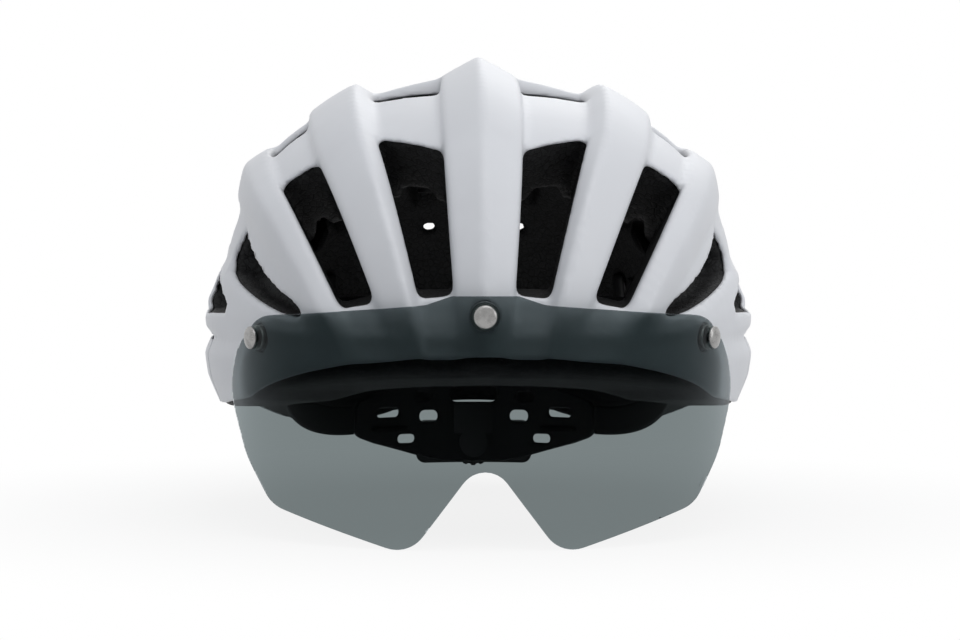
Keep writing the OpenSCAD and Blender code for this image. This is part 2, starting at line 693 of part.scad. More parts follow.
shaft_r = 1.8;
dial_y = house_y + 0.4;
dial_gap = 1;
// Room for the dial, g wider than it all round
module dial_space(g) {
    translate([0, dial_y - g, dial_z]) rotate([-90, 0, 0])
        cylinder(h = far, r = dial_r + g, $fn = round_fn);
}
module dial_knob() {
    grips = 18;
    color([0.12, 0.12, 0.12]) translate([0, dial_y, dial_z]) rotate([-90, 0, 0]) difference() {
        cylinder(h = dial_t, r = dial_r, $fn = 72);
        for (i = [0 : grips - 1]) rotate([0, 0, 360 * i / grips])
            translate([dial_r + 0.5, 0, -1]) cylinder(h = dial_t + 2, r = 1.2, $fn = 24);
        translate([0, 0, -1]) cylinder(h = 5, r = shaft_r + 0.04, $fn = round_fn);
        translate([0, 0, dial_t - 1.6]) cylinder(h = 2, r = 3, $fn = round_fn);
        translate([0, 0, 2]) cylinder(h = 10, r = 1.1, $fn = round_fn);
    }
}
// Toothed wheel on its shaft, with straight-flanked teeth
module pinion() {
    pitch = 2 * PI * pinion_r / pinion_teeth;
    color("gray") translate([0, rack_y, dial_z]) rotate([-90, 0, 0]) difference() {
        union() {
            linear_extrude(rack_t) for (i = [0 : pinion_teeth - 1]) rotate(360 * (i + 0.5) / pinion_teeth)
                polygon([[0, -pitch * 0.27], [pinion_r - 1, -pitch * 0.27], [pinion_r + 0.75, -pitch * 0.1],
                    [pinion_r + 0.75, pitch * 0.1], [pinion_r - 1, pitch * 0.27], [0, pitch * 0.27]]);
            cylinder(h = rack_t, r = pinion_r - 1, $fn = round_fn);
            cylinder(h = dial_y - rack_y + 3.8, r = shaft_r, $fn = round_fn);
            translate([0, 0, cradle_axis_y + cradle_r - rack_y - 1.4])
                cylinder(h = rack_y - cradle_axis_y - cradle_r + 2, r = shaft_r, $fn = round_fn);
        }
        translate([0, 0, dial_y - rack_y - 2]) cylinder(h = 8, r = 0.9, $fn = round_fn);
    }
}
// Straight toothed end of a band, above the pinion
module rack_bar(from, to) {
    pitch = 2 * PI * pinion_r / pinion_teeth;
    line = dial_z + pinion_r;
    facing_front(rack_y, rack_t) {
        translate([from, line + 1]) square([to - from, rack_h - 0.6]);
        for (i = [ceil((from + 1) / pitch) : floor((to - 1) / pitch)]) translate([i * pitch, line])
            polygon([[-pitch * 0.24, 1.2], [-pitch * 0.07, -0.75 + mesh_gap], [pitch * 0.07, -0.75 + mesh_gap],
                [pitch * 0.24, 1.2]]);
    }
}
rack_in = -8.5;
rack_out = 21.5;
module rack_upper() { color("dimgray") rack_bar(rack_in, rack_out); }
module rack_lower() {
    color("dimgray") translate([0, 0, dial_z]) rotate([0, 180, 0]) translate([0, 0, -dial_z])
        rack_bar(rack_in, rack_out);
}
module dial_screw() {
    color("silver") translate([0, dial_y, dial_z]) rotate([-90, 0, 0]) difference() {
        union() {
            translate([0, 0, dial_t - 1.55]) cylinder(h = 1.2, r = 2.8, $fn = round_fn);
            translate([0, 0, -1.6]) cylinder(h = dial_t + 0.4, r = 0.85, $fn = round_fn);
        }
        translate([-0.4, -1.8, dial_t - 0.9]) cube([0.8, 3.6, 2]);
        translate([-1.8, -0.4, dial_t - 0.9]) cube([3.6, 0.8, 2]);
    }
}
// Inner cover of the adjuster: a plate with a round boss below it
module pinion_cap() {
    color([0.16, 0.16, 0.16]) difference() {
        intersection() {
            facing_front(cradle_axis_y + cradle_r - 2.6, 6) union() {
                translate([-8.5, -53.4]) square([17, 13]);
                translate([0, dial_z]) circle(6.3, $fn = round_fn);
            }
            translate([0, cradle_axis_y, -far / 2]) cylinder(h = far, r = cradle_r - 0.05, $fn = 360);
        }
        translate([0, cradle_axis_y + cradle_r - 1.5, dial_z]) rotate([-90, 0, 0])
            cylinder(h = 10, r = shaft_r + 0.06, $fn = round_fn);
    }
}

hanger_w = 14;
hanger_t = 1.4;
base_y = cavity_back + cavity_half_l - 2.1;
base_t = 1.8;
module hanger_slot(g) {
    translate([-hanger_w / 2 - 4 - g, base_y - 10, -4 - g]) cube([hanger_w + 8 + 2 * g, 10 + base_t + g, 16 + 2 * g]);
}
module hanger_base() {
    color([0.13, 0.13, 0.13]) translate([0, base_y, 0]) rotate([-90, 0, 0]) linear_extrude(base_t)
        polygon(rounded([[-11, -12, 3], [11, -12, 3], [11, 4, 3], [-11, 4, 3]]));
}
// Strip from the base down to the cradle, leaning forward as it drops
module hanger() {
    top = [base_y - soft_gap - hanger_t, 10];
    low = [back_y - 2.4, cradle_top_z + soft_gap];
    len_it = norm(top - low);
    color([0.12, 0.12, 0.12]) translate([0, low[0], low[1]]) rotate([-atan2(top[0] - low[0], top[1] - low[1]), 0, 0])
        rotate([90, 0, 0]) translate([0, 0, -hanger_t]) linear_extrude(hanger_t) difference() {
            polygon(rounded([[-hanger_w / 2, 0, 2], [hanger_w / 2, 0, 2], [hanger_w / 2, len_it, 3],
                [-hanger_w / 2, len_it, 3]]));
            for (i = [0 : 2]) translate([0, len_it * (0.35 + 0.2 * i)]) slot([0, 0, 3.6, 1.8]);
        }
}

divider_l = 26;
divider_h = 18;
divider_t = 4;
divider_z = -7;
strap_off = 0.8;
// How far from the divider's middle the side straps end, and how high the chin straps start
strap_end_a = asin((divider_l / 2 + soft_gap + 0.1 * strap_w) / (cavity_half_w - strap_off));
chin_from_a = acos((divider_z + divider_h / 2 + soft_gap) / (cavity_half_w - strap_off));
module wall_strap(az0, z0, az1, z1, off = strap_off) {
    s = [for (i = [0 : 6]) i / 6];
    ribbon([for (w = s) wall_pt(lerp(az0, az1, w), lerp(z0, z1, w), off)],
        [for (w = s) let (a = lerp(az0, az1, w)) [-sin(a) * cavity_half_l, cos(a) * cavity_half_w,
            -0.35 * cavity_half_w * max(0, lerp(z0, z1, w)) / cavity_h]], strap_w * 0.8, strap_t);
}
module strap_front_left() { color([0.09, 0.09, 0.09]) wall_strap(54.5, 11, 90 - strap_end_a, -3); }
module strap_front_right() { mirror([1, 0, 0]) strap_front_left(); }
module strap_rear_left() { color([0.09, 0.09, 0.09]) wall_strap(135, 9, 90 + strap_end_a, -3); }
module strap_rear_right() { mirror([1, 0, 0]) strap_rear_left(); }

// Half of the stowed chin strap, over the roof of the head space to the buckle
module chin_half(end_x) {
    s = [for (i = [0 : 9]) i / 9];
    be = [for (w = s) lerp(chin_from_a, 31, w)];
    roof = [for (i = [0 : 9]) roof_pt(be[i], 90, strap_off + 3.4 * ease((s[i] - 0.5) * 2))];
    pts = concat(roof, [[end_x, cavity_back, buckle_z + strap_t / 2]]);
    ins = concat([for (i = [0 : 9]) [-sin(be[i]) * cavity_h, 0, -cos(be[i]) * cavity_half_w]], [[0, 0, -1]]);
    ribbon(pts, ins, strap_w, strap_t);
}
module chin_strap_left() { color([0.09, 0.09, 0.09]) chin_half(male_end + soft_gap); }
module chin_strap_right() { color([0.09, 0.09, 0.09]) mirror([1, 0, 0]) chin_half(female_end + soft_gap); }
module strap_anchors() {
    color([0.15, 0.15, 0.15]) both() for (p = [[51.5, 12.5], [138.5, 10.5]])
        pad(wall_at, [p[0] - 2.4, p[0] + 2.4], [p[1] - 6, p[1] + 6], pad_gap, 2.4, 2, 8, -1);
}
module divider_left() {
    slot_w = 2.8;
    slot_h = 0.8 * strap_w;
    color([0.14, 0.14, 0.14]) translate([cavity_half_w - strap_off - divider_t, cavity_back, divider_z])
        difference() {
            rotate([90, 0, 90]) linear_extrude(divider_t)
                polygon(rounded([[-divider_l / 2, -divider_h / 2, 3], [divider_l / 2, -divider_h / 2, 3],
                    [divider_l / 2, divider_h / 2, 3], [-divider_l / 2, divider_h / 2, 3]]));
            for (y = [-divider_l / 3, divider_l / 3])
                translate([-1, y - slot_w / 2, -slot_h / 2]) cube([divider_t + 2, slot_w, slot_h]);
        }
}
module divider_right() { mirror([1, 0, 0]) divider_left(); }

female_end = buckle_len;
male_end = 17;
prong_len = 13;
module plate(x0, x1, w, t, r) {
    translate([0, cavity_back, buckle_z - t / 2]) linear_extrude(t)
        polygon(rounded([[x0, -w / 2, r], [x1, -w / 2, r], [x1, w / 2, r], [x0, w / 2, r]]));
}
module buckle_female() {
    color([0.1, 0.1, 0.1]) difference() {
        plate(-female_end, 0, buckle_w, buckle_t, 4);
        plate(-prong_len - 1, 1, buckle_w - 5, buckle_t - 3.2, 0.6);
        for (y = [-1, 1]) translate([-9, cavity_back + y * buckle_w / 2 - 4, buckle_z - 2.2]) cube([7, 8, 4.4]);
        translate([-female_end + 2.4, cavity_back - 8.2, buckle_z - 10]) cube([3.4, 16.4, 20]);
    }
}
module buckle_male() {
    color([0.1, 0.1, 0.1]) {
        difference() {
            plate(0.3, male_end, buckle_w, buckle_t, 3.5);
            translate([male_end - 6, cavity_back - 8.2, buckle_z - 10]) cube([3.4, 16.4, 20]);
        }
        for (y = [-1, 1]) translate([-prong_len, cavity_back + y * 6.6 - 1.5, buckle_z - 1.7])
            cube([prong_len + 1, 3, 3.4]);
        translate([-prong_len, cavity_back - 1.2, buckle_z - 1.2]) cube([prong_len + 1, 2.4, 2.4]);
    }
}
module strap_keeper() {
    be = -60;
    p = roof_pt(be, 90, strap_off - 0.6);
    lean = atan2(sin(be) * cavity_h, cos(be) * cavity_half_w);
    color([0.12, 0.12, 0.12]) translate(p) rotate([0, lean, 0]) translate([-4, -strap_w / 2 - 1.6, -3.4])
        difference() {
            cube([8, strap_w + 3.2, 3.8]);
            translate([-1, 1, 0.9]) cube([10, strap_w + 1.2, 2.3]);
        }
}
module red_tab() {
    color([0.75, 0.08, 0.06]) pad(roof_at, [134.5, 138], [27, 32], pad_gap, 1.6, 2, 6);
}

shell_upper();
shell_lower();
liner();
visor_lens();
rivet_mid();
rivet_left();
rivet_right();
magnet_mid();
magnet_left();
magnet_right();
seat_mid();
seat_left();
seat_right();
brow_pad();
crown_pad_front();
crown_pad_rear();
side_pad_left();
side_pad_right();
hook_patches();
temple_plug_left();
temple_plug_right();
band_left();
band_right();
cradle();
cradle_pads();
hanger();
hanger_base();
dial_housing();
dial_knob();
pinion();
rack_upper();
rack_lower();
dial_screw();
pinion_cap();
strap_front_left();
strap_front_right();
strap_rear_left();
strap_rear_right();
chin_strap_left();
chin_strap_right();
strap_anchors();
divider_left();
divider_right();
buckle_female();
buckle_male();
strap_keeper();
red_tab();
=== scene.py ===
"""Looks of a vented cycling helmet with a clip-on smoke visor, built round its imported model.

Every length in this file is in millimetres and every angle in degrees, in the model's own frame:
+X is the wearer's left, the helmet faces -Y, +Z is up. Meshes are scaled to metres as they are made.
"""

import logging
import math
from dataclasses import dataclass, field
from enum import Enum
from typing import Callable, Sequence

import bmesh
import bpy
import numpy as np
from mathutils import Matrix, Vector

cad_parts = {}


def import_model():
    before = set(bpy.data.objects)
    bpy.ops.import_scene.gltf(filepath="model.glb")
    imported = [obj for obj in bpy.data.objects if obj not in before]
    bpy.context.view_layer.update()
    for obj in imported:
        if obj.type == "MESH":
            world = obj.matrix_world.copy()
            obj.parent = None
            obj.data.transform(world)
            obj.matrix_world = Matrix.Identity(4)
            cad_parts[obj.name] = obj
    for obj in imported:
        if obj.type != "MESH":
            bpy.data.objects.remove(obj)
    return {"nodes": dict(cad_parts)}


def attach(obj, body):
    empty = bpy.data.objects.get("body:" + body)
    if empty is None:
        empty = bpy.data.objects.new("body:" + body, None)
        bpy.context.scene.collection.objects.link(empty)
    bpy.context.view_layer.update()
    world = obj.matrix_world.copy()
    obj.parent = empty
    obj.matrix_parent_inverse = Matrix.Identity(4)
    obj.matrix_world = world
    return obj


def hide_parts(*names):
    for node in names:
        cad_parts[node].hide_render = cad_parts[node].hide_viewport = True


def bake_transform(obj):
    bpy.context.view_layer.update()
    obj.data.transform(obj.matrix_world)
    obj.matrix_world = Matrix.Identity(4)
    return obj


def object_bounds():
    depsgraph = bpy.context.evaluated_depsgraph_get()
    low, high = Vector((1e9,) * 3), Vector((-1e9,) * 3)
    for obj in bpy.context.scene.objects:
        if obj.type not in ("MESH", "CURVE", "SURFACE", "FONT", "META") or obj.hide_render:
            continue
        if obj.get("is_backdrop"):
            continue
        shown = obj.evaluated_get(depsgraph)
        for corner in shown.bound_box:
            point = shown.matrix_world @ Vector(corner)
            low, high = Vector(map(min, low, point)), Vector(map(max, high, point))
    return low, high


log = logging.getLogger("helmet")
MM = 0.001
WHITE = (1.0, 1.0, 1.0, 1.0)
FAR = 40.0
SIDES = (("left", 1.0), ("right", -1.0))
Points = np.ndarray
Values = np.ndarray
Faces = np.ndarray
Surface = tuple[Points, Faces]
Field = Callable[[Points], Values]
Laid = Callable[[Values, Values, Values], Points]
Pair = tuple[float, float]
Triple = tuple[float, float, float]
Corners = Sequence[Sequence[float]]
Piece = bpy.types.Object


class Body(Enum):
    """The bodies that the pieces ride on."""

    HELMET = "helmet"
    VISOR = "visor"
    CRADLE = "cradle"
    DIAL = "dial"
    RACK_UPPER = "rack_upper"
    RACK_LOWER = "rack_lower"
    BUCKLE = "buckle_male"


def lerp(a: Values, b: Values, w: Values) -> Values:
    """The value a share w of the way from a to b."""
    return a + (b - a) * w


def ease(x: Values) -> Values:
    """0 below 0, 1 above 1, and 3x^2 - 2x^3 between."""
    c = np.clip(x, 0.0, 1.0)
    return c * c * (3.0 - 2.0 * c)


def soft_max(a: Values, b: Values, k: float) -> Values:
    """The larger of two fields, its corner rounded where they differ by less than k.

    Args:
        a: First field.
        b: Second field.
        k: Width of the rounding; the corner moves by a quarter of it.

    Returns:
        b + (a - b) h + k h (1 - h), where h runs from 0 to 1 as a - b runs from -k to k.
    """
    h = np.clip(0.5 + 0.5 * (a - b) / k, 0.0, 1.0)
    return b + (a - b) * h + k * h * (1.0 - h)


def soft_min(a: Values, b: Values, k: float) -> Values:
    """The smaller of two fields, with the same rounding as soft_max."""
    return -soft_max(-a, -b, k)


def along(stops: Sequence[float], t: Values) -> Values:
    """A value given at brow, crown and tail, straight between them over the ray angles 0, 90, 180.

    Args:
        stops: The three values, or four where one at the forehead, at 35, comes second.
        t: Ray angles.

    Returns:
        The value at each ray.
    """
    return np.interp(t, [0.0, 90.0, 180.0] if len(stops) == 3 else [0.0, 35.0, 90.0, 180.0], stops)


def boxed(wave: Values, n: float) -> Values:
    """A cosine or sine with its size raised to 2 / n, which turns a circle into a rounded box."""
    return np.sign(wave) * np.abs(wave) ** (2.0 / n)


def polygon_distance(u: Values, v: Values, corners: Corners) -> Values:
    """Distance in a plane to a closed outline, negative inside.

    Args:
        u: First coordinates of the points.
        v: Second coordinates.
        corners: Outline as (u, v) pairs.

    Returns:
        The least distance to any side, its sign turned by each side that a ray to the right crosses.
    """
    best = np.full(u.shape, np.inf)
    sign = np.ones(u.shape)
    count = len(corners)
    for i in range(count):
        (au, av), (bu, bv) = corners[i][:2], corners[(i + 1) % count][:2]
        du, dv = bu - au, bv - av
        w = np.clip(((u - au) * du + (v - av) * dv) / (du * du + dv * dv), 0.0, 1.0)
        best = np.minimum(best, (u - au - w * du) ** 2 + (v - av - w * dv) ** 2)
        over = ((av <= v) != (bv <= v)) & (u < au + (v - av) * du / (dv if dv else 1.0))
        sign = np.where(over, -sign, sign)
    return sign * np.sqrt(best)


def grown(places: Sequence[Values], halves: Sequence[Values], n: float, rounds: int,
          least: Values, most: float) -> Values:
    """How much larger an outline |x/a|^n + |y/b|^n + ... = 1 has to be to pass through points.

    Args:
        places: The points' distances from the middle, along each axis.
        halves: The outline's half axes.
        n: Its power.
        rounds: Newton steps.
        least: Least result.
        most: Greatest result.

    Returns:
        The length g to add to all the half axes, found by Newton's steps on s(g) - 1, s being the
        n-th root of the sum.
    """
    g = np.zeros(len(places[0]))
    for _ in range(rounds):
        axes = [half + g for half in halves]
        parts = [(place / axis) ** n for place, axis in zip(places, axes)]
        total = np.maximum(sum(parts), 1e-12)
        s = total ** (1.0 / n)
        slope = s / total * sum(part / axis for part, axis in zip(parts, axes))
        g = np.clip(g + (s - 1.0) / np.maximum(slope, 1e-9), least, most)
    return g


@dataclass(frozen=True)
class Superform:
    """A rounded box whose outline is |x/a|^n + |y/b|^n + |z/c|^n = 1.

    a is half_w, b is front or back on either side of middle_y, and c is height above z = 0 and
    skirt below it, where 0 stands for straight walls. n is the power.
    """

    half_w: float
    front: float
    back: float
    height: float
    skirt: float
    middle_y: float
    power: float

    def rise(self, p: Points, rounds: int = 5) -> Values:
        """Height of points over the form.

        Args:
            p: Points, one per row.
            rounds: Newton steps.

        Returns:
            The length by which all the half axes have to grow for the form to reach each point.
        """
        y = p[:, 1] - self.middle_y
        b = np.where(y < 0.0, self.front, self.back)
        below = p[:, 2] < 0.0
        c = np.where(below, self.skirt or self.height, self.height)
        z = np.where(below, 0.0 if not self.skirt else -p[:, 2], p[:, 2])
        return grown((np.abs(p[:, 0]), np.abs(y), z), (self.half_w, b, c), self.power, rounds,
                     0.12 - min(self.half_w, self.height), 80.0)

    def shrink(self, z: Values) -> Values:
        """Share of the full outline that is left at height z."""
        c = np.where(z < 0.0, self.skirt or 1e9, self.height)
        return (1.0 - np.minimum(np.abs(z) / c, 0.9999) ** self.power) ** (1.0 / self.power)


@dataclass(frozen=True)
class HeadSpace(Superform):
    """The inside of the foam, on which pads and straps lie, as long in front as behind."""

    def wall(self, az: Values, z: Values, off: Values) -> Points:
        """Points at an angle from the front and a height, moved inwards.

        Args:
            az: Angle from the front, towards +X.
            z: Height.
            off: Distance inwards.

        Returns:
            Points; k = ((|sin| / a)^n + (|cos| / b)^n)^(-1/n), a and b being the half axes less off.
        """
        az, z, off = np.broadcast_arrays(*(np.asarray(m, float) for m in (az, z, off)))
        a, n = np.radians(az), self.power
        s = (1.0 - (np.maximum(z, 0.0) / self.height) ** n) ** (1.0 / n)
        k = ((np.abs(np.sin(a)) / (self.half_w * s - off)) ** n
             + (np.abs(np.cos(a)) / (self.front * s - off)) ** n) ** (-1.0 / n)
        return np.stack([k * np.sin(a), self.middle_y - k * np.cos(a), z], axis=-1)

    def off_wall(self, az: Values) -> Points:
        """The level direction off the wall at an angle from the front, close to its normal."""
        turn = np.radians(az)
        return np.stack([-np.sin(turn) * self.front, np.cos(turn) * self.half_w, 0.0 * turn], axis=-1)

    def roof(self, t: Values, be: Values, off: Values) -> Points:
        """Points in the direction of a ray angle t from the front and a lean be to the side.

        Args:
            t: Ray angle from the front over the crown.
            be: Lean towards +X.
            off: Distance inwards.

        Returns:
            Points.
        """
        t, be, off = np.broadcast_arrays(*(np.asarray(m, float) for m in (t, be, off)))
        tt, bb, n = np.radians(t), np.radians(be), self.power
        d = np.stack([np.sin(bb), -np.cos(bb) * np.cos(tt), np.cos(bb) * np.sin(tt)], axis=-1)
        half = np.stack([self.half_w - off, self.front - off, self.height - off], axis=-1)
        k = ((np.abs(d) / half) ** n).sum(axis=-1) ** (-1.0 / n)
        return k[..., None] * d + np.array([0.0, self.middle_y, 0.0])


HEAD_SPACE = HeadSpace(half_w=80.0, front=106.0, back=106.0, height=68.0, skirt=0.0, middle_y=5.0,
                       power=2.2)


@dataclass(frozen=True)
class Fan:
    """Where points lie among the planes that meet in one line below the helmet.

    al is the plane's angle from upright, the same on both sides, and t the angle of the ray from
    the front in that plane. across and arc are the millimetres per degree of al and of t.
    """

    al: Values
    t: Values
    across: Values
    arc: Values

    @classmethod
    def of(cls, p: Points, drop: float, middle_y: float) -> "Fan":
        """Fan places of points: al from (x, z + drop), t from the height over the brow plane.

        Args:
            p: Points, one per row.
            drop: Depth of the line below the brow plane.
            middle_y: Place of the rays' start.

        Returns:
            The points' places.
        """
        x, up = np.abs(p[:, 0]), p[:, 2] + drop
        al = np.arctan2(x, up)
        rho = np.hypot(x, up)
        v, u = rho - drop / np.cos(al), middle_y - p[:, 1]
        t = np.degrees(np.arctan2(v, u))
        t = np.where(t < -90.0, t + 360.0, t)
        return cls(np.degrees(al), t, np.radians(rho), np.radians(np.hypot(u, v)))


@dataclass(frozen=True)
class Rib:
    """One rib that runs from brow to tail between two fan angles.

    inner and outer are its edges at brow, crown and tail, or also at the forehead. The ridge lies at
    the share ridge_at of the width, and ridge_h and shoulder_h are heights over the dome.
    """

    inner: tuple[float, ...]
    outer: tuple[float, ...]
    ridge_at: float
    ridge_h: Triple
    shoulder_h: Triple
    shoulder_in: float = 0.7
    ridge_round: float = 1.2
    edge_round: float = 2.2
    ends: Pair = (-12.0, 192.0)
    end_fade: float = 14.0

    def distance(self, fan: Fan, rise: Values) -> Values:
        """Field of the rib: two slopes that meet softly at the ridge, cut by two flanks.

        Args:
            fan: Places of the points.
            rise: Their height over the dome.

        Returns:
            Negative inside the rib, however deep.
        """
        a0, a1 = along(self.inner, fan.t), along(self.outer, fan.t)
        ar = lerp(a0, a1, self.ridge_at)
        ridge, low = along(self.ridge_h, fan.t), along(self.shoulder_h, fan.t)
        fade = ease(np.minimum(fan.t - self.ends[0], self.ends[1] - fan.t) / self.end_fade)
        up = low + (fan.al - a0 - self.shoulder_in) * (ridge - low) / (ar - a0 - self.shoulder_in)
        down = low + (a1 - self.shoulder_in - fan.al) * (ridge - low) / (a1 - self.shoulder_in - ar)
        roof = soft_min(up, down, self.ridge_round) * fade
        flanks = np.maximum((a0 - fan.al) * fan.across, (fan.al - a1) * fan.across)
        return soft_max(rise - roof, flanks, self.edge_round)


@dataclass(frozen=True)
class Vent:
    """An opening between two ribs, narrower at its bottom.

    side_in and side_out are the fan angles of its sides from brow to tail, front and back the ray
    angles of its corners, inner side first. neck and neck_a are the shares of its length and width
    left at the bottom, which lies at the depth deep and is open where it reaches the head space.
    """

    side_in: tuple[float, ...]
    side_out: tuple[float, ...]
    front: Pair
    back: Pair
    neck: float
    neck_a: float
    deep: float
    corner_round: float = 2.8
    straight: float = 3.0

    def distance(self, fan: Fan, rise: Values) -> Values:
        """Field of the opening, whose four sides lean in below a straight first stretch.

        Args:
            fan: Places of the points.
            rise: Their height over the dome.

        Returns:
            Negative inside the opening.
        """
        w = np.clip((-rise - self.straight) / (self.deep - self.straight), 0.0, 1.0)
        a0, a1 = along(self.side_in, fan.t), along(self.side_out, fan.t)
        am, half_a = (a0 + a1) / 2.0, (a1 - a0) / 2.0 * (1.0 + w * (self.neck_a - 1.0))
        share = np.clip((fan.al - a0) / np.maximum(a1 - a0, 0.1), 0.0, 1.0)
        t0, t1 = lerp(self.front[0], self.front[1], share), lerp(self.back[0], self.back[1], share)
        tm, half_t = (t0 + t1) / 2.0, (t1 - t0) / 2.0 * (1.0 + w * (self.neck - 1.0))
        lengthwise = (np.abs(fan.t - tm) - half_t) * fan.arc
        crosswise = (np.abs(fan.al - am) - half_a) * fan.across
        inside = soft_max(lengthwise, crosswise, self.corner_round)
        if self.deep < 30.0:
            inside = soft_max(inside, -rise - self.deep, 3.0)
        return inside


@dataclass(frozen=True)
class Belt:
    """The bulge round the shell's sides, from its top edge down past the seam."""

    side_h: float = 8.0
    brow_h: float = 2.0
    tail_h: float = 4.5
    brow_top: float = 5.5
    side_top: float = 23.0
    tail_drop: float = 7.0
    seam_z: float = -4.4
    floor_z: float = -46.0
    dig: float = 6.0

    def distance(self, p: Points, dome: Superform) -> Values:
        """Field of the belt.

        The height h over the dome's outline at the same level is set against the profile of the
        bulge, which is straight between nine heights.

        Args:
            p: Points, one per row.
            dome: The form that the belt goes round.

        Returns:
            Negative inside the belt.
        """
        n, z = dome.power, p[:, 2]
        y = p[:, 1] - dome.middle_y
        s = dome.shrink(z)
        a, b = dome.half_w * s, np.where(y < 0.0, dome.front, dome.back) * s
        ax, ay = np.abs(p[:, 0]), np.abs(y)
        h = grown((ax, ay), (a, b), n, 5, -0.6 * a, 60.0)
        turn = np.degrees(np.arctan2((ay / (b + h)) ** (n / 2), (ax / (a + h)) ** (n / 2)))
        ahead = y < 0.0
        f = np.where(ahead, -turn, turn)
        size = np.where(ahead, lerp(self.brow_h, self.side_h, ease((f + 34.0) / 30.0)),
                        lerp(self.side_h, self.tail_h, ease((f - 12.0) / 55.0)))
        top = np.where(ahead, lerp(self.brow_top, self.side_top, ease((f + 54.0) / 36.0)),
                       self.side_top - self.tail_drop * ease(f / 70.0))
        levels = [(top - 1.0, 0.15 * size), (top - 4.0, 0.45 * size),
                  (lerp(top, self.seam_z, 0.55), size), (self.seam_z + 3.0, 0.88 * size),
                  (self.seam_z, 0.55 * size), (self.seam_z - 7.0, size - 0.3),
                  (self.seam_z - 16.0, size - 1.2), (self.seam_z - 29.0, 0.28 * size),
                  (self.floor_z, -1.0)]
        bulge = np.where(z > levels[0][0], levels[0][1], levels[-1][1])
        for (z1, h1), (z0, h0) in zip(levels[:-1], levels[1:]):
            w = (z - z0) / np.maximum(z1 - z0, 1e-6)
            bulge = np.where((z <= z1) & (z > z0), lerp(h0, h1, w), bulge)
        ring = soft_max(h - bulge, z - top, 3.0)
        return np.maximum(ring, -self.dig - h)


